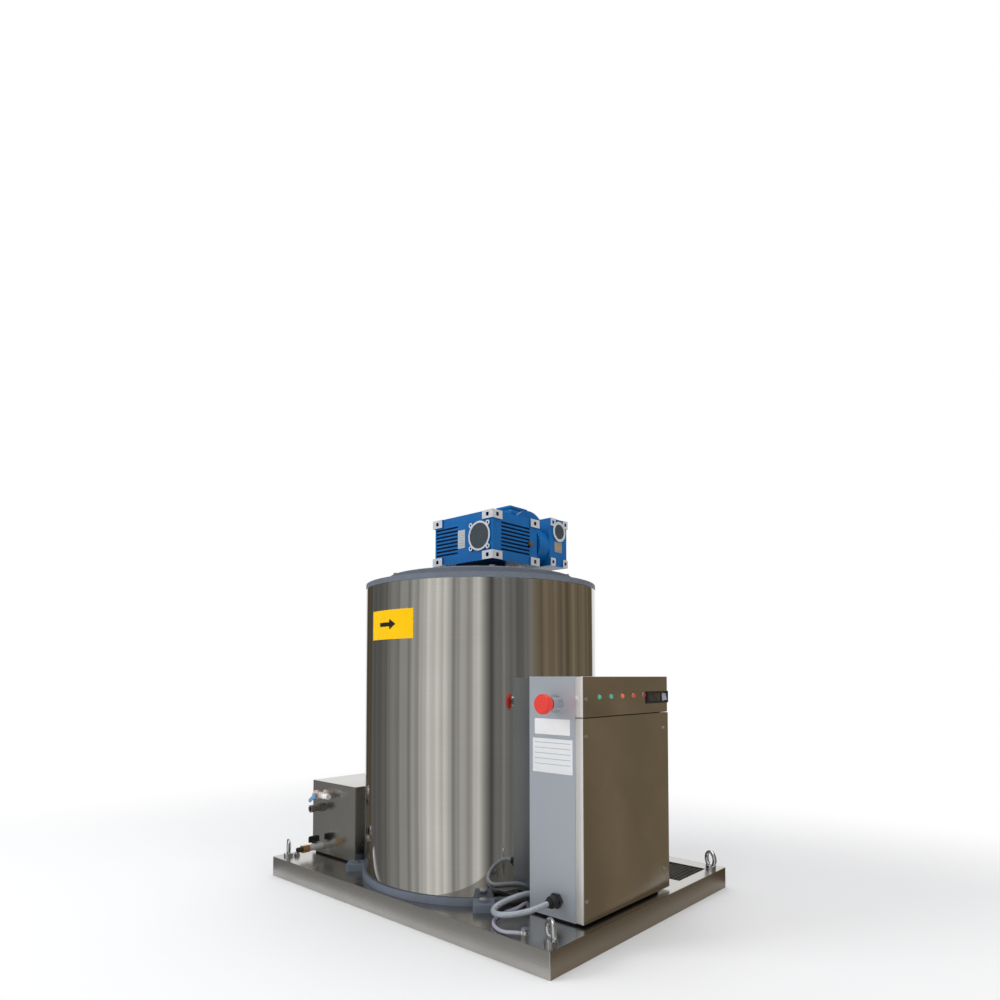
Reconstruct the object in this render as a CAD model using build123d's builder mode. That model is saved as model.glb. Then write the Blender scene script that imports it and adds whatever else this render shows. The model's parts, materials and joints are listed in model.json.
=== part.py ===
from build123d import *
import math
import os

os.makedirs("parts", exist_ok=True)

# Flake ice maker: an insulated freezing drum with a geared scraper on top,
# a water tank on its left and a control box on its right, on one steel tray.
# Millimetres. The origin is the bottom centre of the tray, +X is the long side.

# Base tray
base_length = 920.0
base_width = 700.0
base_height = 48.0
sheet = 2.0
lip_width = 25.0
base_corner_radius = 2.5
channel_width = 40.0
channel_height = 30.0
channel_places = (-260.0, 262.0)

# Perforated vent in the deck
vent_inset_x = 80.0
vent_inset_y = 112.5
vent_x = base_length / 2 - vent_inset_x
vent_y = base_width / 2 - vent_inset_y
vent_pitch = 12.0
vent_hole_radius = 3.5
vent_columns = 8
vent_rows = 11
vent_flange = 4.5

# Lifting eyes
eye_inset_x = 24.0
eye_inset_y = 32.0
eye_x = base_length / 2 - eye_inset_x
eye_y = base_width / 2 - eye_inset_y
eye_outer_diameter = 45.0
eye_inner_diameter = 25.0
eye_collar_radius = 12.5
eye_collar_height = 8.0
eye_shank_radius = 5.0
eye_shank_length = 20.0
eye_turn = 147.0
eye_nut_width = 17.0
eye_nut_height = 8.0
bolt_clearance = 0.5
thread_clearance = 0.05

# Freezing drum
drum_x = 12.5
drum_y = -56.0
drum_radius = 283.0
cladding_thickness = 1.5
outlet_radius = 203.0
foot_thickness = 15.5
foot_overhang = 4.0
lug_reach = 327.0
lug_width = 44.0
lug_corner = 6.0
lug_bolt_circle = 307.0
evaporator_bore = 208.0
evaporator_wall = 18.0
skin_gap = 0.3
cladding_top = 728.0
top_ring_thickness = 12.0
lid_radius = 229.0
lid_thickness = 20.0
lid_edge = 2.0
lid_bolt_circle = 221.0
lid_bolt_count = 8
shaft_hole_radius = 19.0

# Refrigerant connections
suction_radius = 14.0
liquid_radius = 6.0
suction_z = 660.0
liquid_z = 120.0
refrigerant_angle = 80.0
refrigerant_reach = 338.0
refrigerant_clearance = 0.4

# Bottom bearing carrier and water trough
spider_arm_width = 30.0
spider_arm_thickness = 12.0
spider_hub_radius = 45.0
spider_hub_height = 26.5
spider_angles = (30.0, 150.0, 270.0)
seat_clearance = 0.3
lower_bearing_radius = 31.0
lower_bearing_width = 16.0
bearing_floor = 6.5
trough_inner_radius = 188.0
trough_height = 20.0
trough_wall = 2.0
spout_radius = 5.5
spout_circle = 195.0
spout_run_z = 26.0
riser_x = -320.0
riser_y = -105.0
riser_height = 28.0

# Rotor inside the drum
shaft_radius = 17.5
shaft_top = 902.0
running_clearance = 0.05
carrier_hub_radius = 32.0
carrier_hub_height = 30.0
carrier_arm_thickness = 14.0
carrier_bottom = 104.0
carrier_top = 660.0
carrier_bar_inner = 172.0
carrier_bar_outer = 190.0
carrier_bar_width = 22.0
blade_angle = 150.0
squeegee_angle = 60.0
blade_gap = 1.0
blade_thickness = 6.0
blade_bottom = 98.0
blade_top = 698.0
tooth_pitch = 30.0
tooth_depth = 5.0
tooth_width = 12.0
squeegee_gap = 0.5
squeegee_thickness = 8.0
dish_radius = 165.0
dish_floor_z = 702.0
dish_height = 18.0
dish_wall = 2.0
spray_tube_radius = 4.0
spray_tube_reach = 199.0
spray_tube_count = 8

# Main worm gearbox
gear_centre_distance = 75.0
gear_left = 86.0
gear_right = 119.0
gear_half_depth = 86.0
gear_bottom = 792.0
gear_height = 115.0
gear_face_relief = 4.0
gear_pad_length = 34.0
gear_pad_height = 20.0
gear_pad_pocket = 9.0
gear_edge_radius = 3.0
wheel_chamber_radius = 64.0
wheel_chamber_half_height = 36.0
wheel_radius = 57.0
wheel_thickness = 39.0
wheel_hub_radius = 22.4
wheel_teeth = 30
wheel_tooth_depth = 6.0
output_bearing_radius = 35.0
output_bearing_width = 15.0
worm_radius = 17.5
worm_bore_radius = 26.0
worm_journal_radius = 12.5
worm_bearing_width = 15.0
worm_thread_length = 78.0
worm_thread_pitch = 15.0
worm_thread_depth = 5.0
worm_boss_radius = 35.0
fin_pitch = 9.0
fin_groove = 4.5
fin_depth = 4.0
cap_thickness = 3.5
cap_fit = 0.1
ear_radius = 6.0
ear_circle = 39.0
ear_hole_radius = 2.6

# Mounting flange under the gearbox
mount_thickness = 12.0
mount_margin = 4.0
mount_spigot_radius = 62.0
mount_bolt_inset = 12.0

# Small worm gearbox and its adapter
small_centre_distance = 40.0
small_half_width = 50.0
small_below_axis = 50.0
small_above_axis = 71.5
small_front_y = 68.0
small_depth = 71.0
adapter_radius = 45.0
small_chamber_radius = 36.0
small_chamber_half_depth = 24.0
small_wheel_radius = 29.5
small_wheel_thickness = 22.0
small_hub_radius = 14.0
small_wheel_teeth = 30
small_worm_radius = 10.0
small_worm_bore_radius = 19.0
small_bearing_radius = 20.0
small_bearing_width = 9.0
small_pad = 20.0
small_pad_relief = 3.0
input_shaft_radius = 9.0
motor_shaft_radius = 7.5

# Motor
motor_flange_radius = 70.0
motor_flange_thickness = 10.0
motor_core_radius = 50.0
motor_fin_radius = 58.0
motor_fin_count = 28
motor_fin_thickness = 2.5
motor_length = 177.0
motor_bore_radius = 32.0
motor_end_wall = 12.0
armature_radius = 31.4
armature_length = 110.0
fan_cover_length = 22.0
fan_cover_wall = 1.5
fan_cover_fit = 0.1
fan_cover_radius = motor_fin_radius + fan_cover_fit + fan_cover_wall
fan_radius = 52.0
fan_blade_count = 8
fan_hub_radius = 12.0
fan_width = 8.0
terminal_length = 55.5
terminal_width = 75.0
terminal_base_z = 948.0
terminal_top_z = 976.0

# Water tank
tank_left = -427.0
tank_front = -252.0
tank_back = 20.0
tank_right = -286.0
tank_nose_x = -237.0
tank_nose_y = -208.0
tank_shoulder_y = -135.0
box_bottom = 52.7
tank_top = 240.0
tank_wall = 1.5
seal_inset = 6.0
seal_width = 8.0
cover_lip = 10.0
cover_lip_clearance = 0.3
inlet_x = -363.0
inlet_z = 209.0
inlet_reach = 22.0
overflow_x = -385.0
overflow_z = 172.0
drain_x = -384.0
drain_z = 72.0
fitting_stub_radius = 7.0
pivot_pin_radius = 2.5
pivot_clearance = 0.05
pivot_y = -232.0
float_radius = 22.0
float_reach = 85.0
float_drop = 30.0
pump_x = -345.0
pump_y = -40.0
pump_radius = 28.0
pump_height = 92.0
feed_pipe_radius = 6.0
feed_pipe_top = 785.0
feed_bend = 24.0
feed_angle = 160.0
feed_circle = 150.0

# Control box
box_left = 308.0
box_seam_x = 421.0
box_right = 440.0
box_front = -222.0
box_back = 102.0
door_back = 105.0
box_top = 519.0
box_wall = 1.5
box_lip = 12.0
seam_z = 440.4
seam_gap = 0.8
screw_radius = 4.0
screw_head = 2.0
screw_shank_radius = 2.0
lamp_radius = 5.0
lamp_z = 479.0
lamp_places = (-168.0, -127.0, -85.0, -42.0, -0.5)
module_front = 11.0
module_back = 101.0
module_z = 474.0
module_half_height = 13.0
module_bezel = 2.5
module_depth = 17.0
rocker_y = 84.5
rocker_width = 21.0
rocker_pocket_clearance = 0.5
stop_x = 375.0
stop_z = 466.0
stop_stem_radius = 8.0
stop_head_radius = 20.0
stop_travel = 4.0
gland_x = 376.0
gland_z = 87.0
gland_bore = 6.1

# Cords on the deck
conduit_radius = 6.0
grey_hose_radius = 3.5
black_conduit_radius = 5.0

deck = base_height
foot_top = deck + foot_thickness
ring_top = cladding_top + top_ring_thickness
lid_top = ring_top + lid_thickness
mount_top = lid_top + mount_thickness
gear_top = gear_bottom + gear_height
gear_mid_z = gear_bottom + gear_height / 2
worm_x = drum_x + gear_centre_distance
gear_x0 = drum_x - gear_left
gear_x1 = drum_x + gear_right
gear_y0 = drum_y - gear_half_depth
gear_y1 = drum_y + gear_half_depth
gear_mid_x = (gear_x0 + gear_x1) / 2
small_mid_y = small_front_y + small_depth / 2
small_back_y = small_front_y + small_depth
small_x0 = worm_x - small_half_width
small_x1 = worm_x + small_half_width
motor_z = gear_mid_z + small_centre_distance
motor_x1 = small_x0
motor_x0 = motor_x1 - motor_flange_thickness - motor_length


def level(z):
    """Plane across the drum axis at height z."""
    return Plane(origin=(drum_x, drum_y, z))


def facing_front(x, y, z):
    """Plane that looks towards -Y, with local x along +X and local y up."""
    return Plane(origin=(x, y, z), x_dir=(1, 0, 0), z_dir=(0, -1, 0))


def facing_right(x, y, z):
    """Plane that looks towards +X, with local x along +Y and local y up."""
    return Plane(origin=(x, y, z), x_dir=(0, 1, 0), z_dir=(1, 0, 0))


def disc(plane, radius, height, mode=Mode.ADD):
    """Round disc or round hole that starts on a plane."""
    with BuildSketch(plane) as outline:
        Circle(radius)
    extrude(outline.sketch, amount=height, mode=mode)


def ring(plane, outer, inner, height):
    """Flat ring that starts on a plane."""
    with BuildSketch(plane) as outline:
        Circle(outer)
        Circle(inner, mode=Mode.SUBTRACT)
    extrude(outline.sketch, amount=height)


def slab(plane, width, height, depth, mode=Mode.ADD):
    """Rectangular block centred on a plane's origin, rising from it."""
    with BuildSketch(plane) as outline:
        Rectangle(width, height)
    extrude(outline.sketch, amount=depth, mode=mode)


def hexagon(plane, across_flats, height):
    """Hexagonal prism that starts on a plane."""
    with BuildSketch(plane) as outline:
        RegularPolygon(across_flats / 2, 6, major_radius=False)
    extrude(outline.sketch, amount=height)


def block(x0, x1, y0, y1, z0, z1, mode=Mode.ADD):
    """Block between two corners."""
    with BuildSketch(Plane.XY.offset(z0)) as outline:
        with Locations(((x0 + x1) / 2, (y0 + y1) / 2)):
            Rectangle(x1 - x0, y1 - y0)
    extrude(outline.sketch, amount=z1 - z0, mode=mode)


def polar(radius, angle):
    """Point in the deck plane at an angle in degrees about the drum axis."""
    turn = math.radians(angle)
    return (drum_x + radius * math.cos(turn), drum_y + radius * math.sin(turn))


def route_radii(points):
    """Largest arc at each corner: 0.45 of the shorter run over tan(half turn)."""
    radii = []
    for before, here, after in zip(points, points[1:], points[2:]):
        run_in = Vector(*here) - Vector(*before)
        run_out = Vector(*after) - Vector(*here)
        half_turn = math.radians(run_in.get_angle(run_out)) / 2
        radii.append(0.45 * min(run_in.length, run_out.length) / math.tan(half_turn))
    return radii


def tube_along(points, radius, radii, bore=0.0):
    """Tube along straight runs that are joined by tangent arcs."""
    with BuildLine() as route:
        FilletPolyline(*points, radius=radii)
    path = route.wire()
    start = Plane(origin=path @ 0, z_dir=path % 0)
    with BuildSketch(start) as section:
        Circle(radius)
        if bore:
            Circle(bore, mode=Mode.SUBTRACT)
    sweep(section.sketch, path=path)
    return path.length


def report_cord(name, points, radius, length, volume):
    """Print a cord's arcs, and its volume beside section times length."""
    arcs = ", ".join(f"{r:.0f}" for r in route_radii(points))
    section = math.pi * radius**2 * length
    print(f"{name}: length {length:.1f}, arcs {arcs}, volume {volume:.0f} / {section:.0f}")


# Hole places on the deck
lug_angles = (45.0, 135.0, 225.0, 315.0)
lug_places = [polar(lug_bolt_circle, angle) for angle in lug_angles]
eye_places = [(sx * eye_x, sy * eye_y) for sx in (-1, 1) for sy in (-1, 1)]
dome_inset_x = 41.0
dome_inset_y = 46.0
dome_place = (dome_inset_x - base_length / 2, dome_inset_y - base_width / 2)
dome_shank_radius = 4.0
tail_place = (386.0, -328.0)
tail_shank_radius = 5.0
metal_grommet = (293.0, -172.0)
black_grommets = ((266.0, -262.0), (281.0, -187.0))
grey_grommet = (290.0, -206.0)
grommet_wall = 3.5
black_grommet_wall = 4.4
grommet_height = 2.5
cord_end_z = deck + 2.6

# Route points of the three cords that lie on the deck
cord_gap = 0.3
tail_run = (-0.894, -0.447)
tail_outlet_z = deck + 7.0
tail_outlet_reach = 8.0
tail_first = tail_outlet_reach + cord_gap
tail_second = 21.0
gland_reach = 30.0
conduit_route = [
    (gland_x, box_front - gland_reach - cord_gap, gland_z),
    (gland_x, -275.0, gland_z),
    (366.0, -297.0, 82.0),
    (345.0, -312.0, 76.0),
    (320.0, -318.0, 70.0),
    (297.0, -313.0, 66.0),
    (277.0, -297.0, 64.5),
    (267.5, -273.0, 66.0),
    (271.0, -248.0, 71.0),
    (279.0, -224.0, 75.0),
    (285.0, -202.0, 76.0),
    (290.0, -184.0, 72.0),
    (metal_grommet[0], metal_grommet[1], 62.0),
    (metal_grommet[0], metal_grommet[1], cord_end_z),
]
grey_z = deck + grey_hose_radius + cord_gap
grey_route = [
    (tail_place[0] + tail_first * tail_run[0], tail_place[1] + tail_first * tail_run[1], tail_outlet_z),
    (tail_place[0] + tail_second * tail_run[0], tail_place[1] + tail_second * tail_run[1], tail_outlet_z),
    (350.0, -342.0, grey_z + 0.4),
    (333.0, -341.0, grey_z),
    (316.0, -334.0, grey_z),
    (301.0, -322.0, grey_z),
    (289.0, -306.0, grey_z),
    (282.0, -287.0, grey_z),
    (279.0, -268.0, grey_z),
    (281.0, -248.0, grey_z + 0.5),
    (285.5, -231.0, grey_z + 3),
    (288.5, -217.0, grey_z + 8),
    (grey_grommet[0], grey_grommet[1], grey_z + 8.3),
    (grey_grommet[0], grey_grommet[1], cord_end_z),
]
black_z = deck + black_conduit_radius
black_route = [
    (black_grommets[0][0], black_grommets[0][1], cord_end_z),
    (264.0, -252.0, black_z + 4.5),
    (262.0, -240.0, black_z + 5),
    (262.8, -226.0, black_z + 3),
    (267.0, -212.0, black_z + 2),
    (273.5, -199.0, black_z + 6),
    (black_grommets[1][0], black_grommets[1][1], cord_end_z),
]
grommet_list = [
    (metal_grommet, conduit_radius, grommet_wall, conduit_route[-2]),
    (black_grommets[0], black_conduit_radius, black_grommet_wall, black_route[1]),
    (black_grommets[1], black_conduit_radius, black_grommet_wall, black_route[-2]),
    (grey_grommet, grey_hose_radius, grommet_wall, grey_route[-2]),
]

# Base tray, folded from one sheet: deck, four skirts and a lip turned inwards
with BuildPart() as base_tray:
    slab(Plane.XY, base_length, base_width, base_height)
    fillet(base_tray.edges().filter_by(Axis.Z), base_corner_radius)
    slab(Plane.XY.offset(sheet), base_length - 2 * sheet, base_width - 2 * sheet,
         base_height - 2 * sheet, Mode.SUBTRACT)
    slab(Plane.XY, base_length - 2 * lip_width, base_width - 2 * lip_width, sheet, Mode.SUBTRACT)
    with BuildSketch(Plane.XY.offset(deck)):
        with Locations((drum_x, drum_y)):
            Circle(outlet_radius)
        with Locations(*lug_places, *eye_places):
            Circle(eye_shank_radius + bolt_clearance)
        with Locations(dome_place):
            Circle(dome_shank_radius + bolt_clearance)
        with Locations(tail_place):
            Circle(tail_shank_radius + bolt_clearance)
        with Locations((riser_x, riser_y)):
            Circle(spout_radius + bolt_clearance)
        for place, hose_radius, wall, _ in grommet_list:
            with Locations(place):
                Circle(hose_radius + wall - 1)
        with Locations((vent_x, vent_y)):
            Rectangle(vent_columns * vent_pitch + 2, vent_rows * vent_pitch + 2)
    extrude(amount=-sheet, mode=Mode.SUBTRACT)
base_tray.part.label = "base_tray"
export_step(base_tray.part, "parts/base_tray.step")

# Two folded channels stiffen the deck on each side of the ice outlet
channel_length = base_width - 2 * sheet - 1
with BuildPart() as base_channels:
    for place in channel_places:
        low = deck - sheet - channel_height
        block(place - channel_width / 2, place + channel_width / 2,
              -channel_length / 2, channel_length / 2, low, deck - sheet)
        block(place - channel_width / 2 + sheet, place + channel_width / 2 - sheet,
              -channel_length / 2, channel_length / 2, low, deck - 2 * sheet, Mode.SUBTRACT)
    spout_way = Plane(origin=(channel_places[0] - channel_width, drum_y, spout_run_z), z_dir=(1, 0, 0))
    disc(spout_way, spout_radius + 2, 2 * channel_width, Mode.SUBTRACT)
base_channels.part.label = "base_channels"
export_step(base_channels.part, "parts/base_channels.step")

# Perforated vent plate under a window in the deck
with BuildPart() as vent_grille:
    with BuildSketch(Plane.XY.offset(deck - 2 * sheet)):
        with Locations((vent_x, vent_y)):
            Rectangle(vent_columns * vent_pitch + 2 * vent_flange, vent_rows * vent_pitch + 2 * vent_flange)
            with GridLocations(vent_pitch, vent_pitch, vent_columns, vent_rows):
                Circle(vent_hole_radius, mode=Mode.SUBTRACT)
    extrude(amount=sheet)
vent_grille.part.label = "vent_grille"
export_step(vent_grille.part, "parts/vent_grille.step")

# Four lifting eyes with their nuts under the deck
eye_tube_radius = (eye_outer_diameter - eye_inner_diameter) / 4
eye_ring_radius = (eye_outer_diameter + eye_inner_diameter) / 4
eye_centre_height = eye_outer_diameter / 2
with BuildPart() as lifting_eyes:
    for x, y in eye_places:
        eye_x_dir = (math.cos(math.radians(eye_turn)), math.sin(math.radians(eye_turn)), 0)
        ring_plane = Plane(origin=(x, y, deck + eye_centre_height), x_dir=eye_x_dir, z_dir=(0, 0, 1))
        with BuildSketch(ring_plane):
            with Locations((eye_ring_radius, 0)):
                Circle(eye_tube_radius)
        revolve(axis=Axis(ring_plane.origin, ring_plane.y_dir))
        disc(Plane(origin=(x, y, deck)), eye_collar_radius, eye_collar_height)
        disc(Plane(origin=(x, y, deck)), eye_shank_radius, -eye_shank_length)
        nut_plane = Plane(origin=(x, y, deck - sheet - eye_nut_height))
        with BuildSketch(nut_plane):
            RegularPolygon(eye_nut_width / 2, 6, major_radius=False)
            Circle(eye_shank_radius + thread_clearance, mode=Mode.SUBTRACT)
        extrude(amount=eye_nut_height)
lifting_eyes.part.label = "lifting_eyes"
export_step(lifting_eyes.part, "parts/lifting_eyes.step")

# Dome nut at the left corner and the hose tail at the front
dome_radius = 8.0
tail_radius = 7.0
tail_height = 17.0
tail_barb_radius = 4.5
with BuildPart() as deck_fittings:
    dome_plane = Plane(origin=(*dome_place, deck))
    hexagon(dome_plane, 13, 6)
    disc(Plane(origin=(*dome_place, deck + 6)), 5.8, 4.5)
    disc(dome_plane, dome_shank_radius, -8)
    tail_plane = Plane(origin=(*tail_place, deck))
    hexagon(tail_plane, 2 * tail_radius, 6)
    disc(Plane(origin=(*tail_place, deck)), tail_radius - 1.5, tail_height - 3)
    hexagon(Plane(origin=(*tail_place, deck + tail_height - 4)), 2 * tail_radius, 4)
    disc(tail_plane, tail_shank_radius, -8)
    outlet = Plane(origin=(*tail_place, tail_outlet_z), z_dir=(*tail_run, 0))
    disc(outlet, tail_barb_radius, tail_outlet_reach)
deck_fittings.part.label = "deck_fittings"
export_step(deck_fittings.part, "parts/deck_fittings.step")


def tank_outline():
    """Outline of the water tank, which clears the drum at its right."""
    with BuildLine() as outline:
        Polyline((tank_left, tank_front), (tank_nose_x, tank_front), (tank_nose_x, tank_nose_y),
                 (tank_right, tank_shoulder_y), (tank_right, tank_back), (tank_left, tank_back),
                 close=True)
    make_face(outline.edges())


# Rubber under the two boxes and round the hose holes
with BuildPart() as deck_seals:
    with BuildSketch(Plane.XY.offset(deck)):
        tank_outline()
        offset(amount=-seal_inset, kind=Kind.INTERSECTION, mode=Mode.REPLACE)
    extrude(amount=box_bottom - deck)
    with BuildSketch(Plane.XY.offset(deck)):
        tank_outline()
        offset(amount=-seal_inset - seal_width, kind=Kind.INTERSECTION, mode=Mode.REPLACE)
    extrude(amount=box_bottom - deck, mode=Mode.SUBTRACT)
    block(box_left + seal_inset, box_seam_x - seal_inset, box_front + seal_inset,
          box_back - seal_inset, deck, box_bottom)
    block(box_left + seal_inset + seal_width, box_seam_x - seal_inset - seal_width,
          box_front + seal_inset + seal_width, box_back - seal_inset - seal_width,
          deck, box_bottom, Mode.SUBTRACT)
    for place, hose_radius, wall, toward in grommet_list:
        disc(Plane(origin=(*place, deck)), hose_radius + wall, grommet_height)
        disc(Plane(origin=(*place, deck - sheet)), hose_radius + wall - 1.2, sheet)
        entry = Vector(*toward) - Vector(*place, cord_end_z)
        start = Vector(*place, cord_end_z) - entry.normalized() * cord_gap
        disc(Plane(origin=start, z_dir=entry), hose_radius + 0.05, 20, Mode.SUBTRACT)
deck_seals.part.label = "deck_seals"
export_step(deck_seals.part, "parts/deck_seals.step")

# Foot ring of the drum with four bolted lugs
with BuildPart() as foot_ring:
    with BuildSketch(level(deck)):
        Circle(drum_radius + foot_overhang)
        with PolarLocations(lug_reach / 2, 4, start_angle=lug_angles[0]):
            RectangleRounded(lug_reach, lug_width, lug_corner)
        Circle(outlet_radius, mode=Mode.SUBTRACT)
        with PolarLocations(lug_bolt_circle, 4, start_angle=lug_angles[0]):
            Circle(eye_shank_radius + bolt_clearance, mode=Mode.SUBTRACT)
    extrude(amount=foot_thickness)
foot_ring.part.label = "foot_ring"
export_step(foot_ring.part, "parts/foot_ring.step")

# Hexagon bolts: lugs to deck, lid to drum, gearbox flange to lid
lug_bolt_length = 30.0
lug_head_width = 17.0
lid_bolt_radius = 3.0
mount_bolt_radius = 4.0
mount_span_x = gear_x1 - gear_x0 + 2 * mount_margin
mount_span_y = gear_y1 - gear_y0 + 2 * mount_margin
mount_dx = mount_span_x / 2 - mount_bolt_inset
mount_dy = mount_span_y / 2 - mount_bolt_inset
mount_bolts = [
    (gear_mid_x + sx * mount_dx, drum_y + sy * mount_dy)
    for sx in (-1, 0, 1) for sy in (-1, 0, 1) if (sx, sy) != (0, 0)
]
lid_bolts = [polar(lid_bolt_circle, 360 / lid_bolt_count * (n + 0.5)) for n in range(lid_bolt_count)]
with BuildPart() as hex_bolts:
    for place in lug_places:
        hexagon(Plane(origin=(*place, foot_top)), lug_head_width, 6.5)
        disc(Plane(origin=(*place, foot_top)), eye_shank_radius, -lug_bolt_length)
        with BuildSketch(Plane(origin=(*place, deck - sheet - eye_nut_height))):
            RegularPolygon(eye_nut_width / 2, 6, major_radius=False)
            Circle(eye_shank_radius + thread_clearance, mode=Mode.SUBTRACT)
        extrude(amount=eye_nut_height)
    for place in lid_bolts:
        hexagon(Plane(origin=(*place, lid_top)), 10, 4)
        disc(Plane(origin=(*place, lid_top)), lid_bolt_radius, -lid_thickness - 8)
    for place in mount_bolts:
        hexagon(Plane(origin=(*place, mount_top)), 13, 5.3)
        disc(Plane(origin=(*place, mount_top)), mount_bolt_radius, -mount_thickness - 12)
hex_bolts.part.label = "hex_bolts"
export_step(hex_bolts.part, "parts/hex_bolts.step")

# Three-armed carrier of the lower shaft bearing, seated in the foot ring
spider_reach = evaporator_bore - seat_clearance
with BuildPart() as bearing_spider:
    for angle in spider_angles:
        with BuildSketch(level(foot_top)):
            with PolarLocations(spider_reach / 2, 1, start_angle=angle):
                Rectangle(spider_reach, spider_arm_width)
        extrude(amount=spider_arm_thickness)
    with BuildSketch(level(foot_top)):
        Circle(spider_reach)
    extrude(amount=spider_hub_height, mode=Mode.INTERSECT)
    disc(level(foot_top), spider_hub_radius, spider_hub_height)
    disc(level(foot_top), shaft_radius + 2, spider_hub_height, Mode.SUBTRACT)
    disc(level(foot_top + bearing_floor), lower_bearing_radius, spider_hub_height, Mode.SUBTRACT)
bearing_spider.part.label = "bearing_spider"
export_step(bearing_spider.part, "parts/bearing_spider.step")

# Water trough under the freezing wall, with a spout
trough_z = foot_top + spider_arm_thickness
trough_outer = evaporator_bore - seat_clearance
spout_place = polar(spout_circle, 180)
with BuildPart() as water_trough:
    ring(level(trough_z), trough_outer, trough_inner_radius, trough_height)
    with BuildSketch(level(trough_z + trough_wall)):
        Circle(trough_outer - trough_wall)
        Circle(trough_inner_radius + trough_wall, mode=Mode.SUBTRACT)
    extrude(amount=trough_height, mode=Mode.SUBTRACT)
    disc(Plane(origin=(*spout_place, trough_z)), spout_radius - 1.5, trough_wall, Mode.SUBTRACT)
water_trough.part.label = "water_trough"
export_step(water_trough.part, "parts/water_trough.step")

# Drain pipe from the trough, under the deck and up into the tank
drain_bend = 14.0
drain_route = [
    (*spout_place, trough_z),
    (*spout_place, spout_run_z),
    (riser_x, spout_place[1], spout_run_z),
    (riser_x, riser_y, spout_run_z),
    (riser_x, riser_y, box_bottom + riser_height),
]
with BuildPart() as trough_drain_pipe:
    tube_along(drain_route, spout_radius, [drain_bend] * 3, bore=spout_radius - 1.5)
trough_drain_pipe.part.label = "trough_drain_pipe"
export_step(trough_drain_pipe.part, "parts/trough_drain_pipe.step")


def refrigerant_plane(z):
    """Plane on the drum axis that looks along the refrigerant pipes."""
    turn = math.radians(refrigerant_angle)
    return Plane(origin=(drum_x, drum_y, z), z_dir=(math.cos(turn), math.sin(turn), 0))


# Freezing cylinder: ice forms on its inner wall
evaporator_outer = evaporator_bore + evaporator_wall
with BuildPart() as evaporator_cylinder:
    ring(level(foot_top), evaporator_outer, evaporator_bore, cladding_top - foot_top)
evaporator_cylinder.part.label = "evaporator_cylinder"
export_step(evaporator_cylinder.part, "parts/evaporator_cylinder.step")

# Foam between the cylinder and the cladding
foam_inner = evaporator_outer + skin_gap
foam_outer = drum_radius - cladding_thickness - skin_gap
with BuildPart() as insulation:
    ring(level(foot_top), foam_outer, foam_inner, cladding_top - foot_top)
    disc(refrigerant_plane(suction_z), suction_radius + refrigerant_clearance, drum_radius, Mode.SUBTRACT)
    disc(refrigerant_plane(liquid_z), liquid_radius + refrigerant_clearance, drum_radius, Mode.SUBTRACT)
insulation.part.label = "insulation"
export_step(insulation.part, "parts/insulation.step")

# Polished outer cladding
with BuildPart() as drum_cladding:
    ring(level(foot_top), drum_radius, drum_radius - cladding_thickness, cladding_top - foot_top)
    disc(refrigerant_plane(suction_z), suction_radius + refrigerant_clearance, 2 * drum_radius, Mode.SUBTRACT)
    disc(refrigerant_plane(liquid_z), liquid_radius + refrigerant_clearance, 2 * drum_radius, Mode.SUBTRACT)
drum_cladding.part.label = "drum_cladding"
export_step(drum_cladding.part, "parts/drum_cladding.step")

# Grey ring that closes the foam at the top
with BuildPart() as top_ring:
    ring(level(cladding_top), drum_radius, evaporator_bore, top_ring_thickness)
    with BuildSketch(level(ring_top)):
        with PolarLocations(lid_bolt_circle, lid_bolt_count, start_angle=180 / lid_bolt_count):
            Circle(lid_bolt_radius + thread_clearance)
    extrude(amount=-top_ring_thickness, mode=Mode.SUBTRACT)
top_ring.part.label = "top_ring"
export_step(top_ring.part, "parts/top_ring.step")

# Lid disc with the holes for the shaft, the feed pipe and its bolts
feed_place = polar(feed_circle, feed_angle)
with BuildPart() as drum_lid:
    disc(level(ring_top), lid_radius, lid_thickness)
    fillet(drum_lid.edges().group_by(Axis.Z)[-1], lid_edge)
    disc(level(ring_top), shaft_hole_radius, lid_thickness, Mode.SUBTRACT)
    for place in lid_bolts:
        disc(Plane(origin=(*place, ring_top)), lid_bolt_radius + bolt_clearance, lid_thickness, Mode.SUBTRACT)
    for place in mount_bolts:
        disc(Plane(origin=(*place, lid_top)), mount_bolt_radius + thread_clearance, -14, Mode.SUBTRACT)
    disc(Plane(origin=(*feed_place, ring_top)), feed_pipe_radius + bolt_clearance, lid_thickness, Mode.SUBTRACT)
drum_lid.part.label = "drum_lid"
export_step(drum_lid.part, "parts/drum_lid.step")

# Suction and liquid stubs at the back of the drum
with BuildPart() as refrigerant_pipes:
    for z, radius in ((suction_z, suction_radius), (liquid_z, liquid_radius)):
        start = refrigerant_plane(z).offset(evaporator_outer + skin_gap)
        ring(start, radius, radius - 1.2, refrigerant_reach - evaporator_outer - skin_gap)
        ring(refrigerant_plane(z).offset(refrigerant_reach - 16), radius + 2, radius - 1.2, 12)
refrigerant_pipes.part.label = "refrigerant_pipes"
export_step(refrigerant_pipes.part, "parts/refrigerant_pipes.step")

# Dark flange that carries the gearbox on the lid
with BuildPart() as gear_mount_flange:
    slab(Plane(origin=(gear_mid_x, drum_y, lid_top)), mount_span_x, mount_span_y, mount_thickness)
    fillet(gear_mount_flange.edges().filter_by(Axis.Z), 6)
    disc(level(mount_top), mount_spigot_radius, gear_bottom - mount_top)
    disc(level(lid_top), shaft_hole_radius, gear_bottom - lid_top, Mode.SUBTRACT)
    for place in mount_bolts:
        disc(Plane(origin=(*place, lid_top)), mount_bolt_radius + bolt_clearance,
             mount_thickness, Mode.SUBTRACT)
gear_mount_flange.part.label = "gear_mount_flange"
export_step(gear_mount_flange.part, "parts/gear_mount_flange.step")

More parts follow.
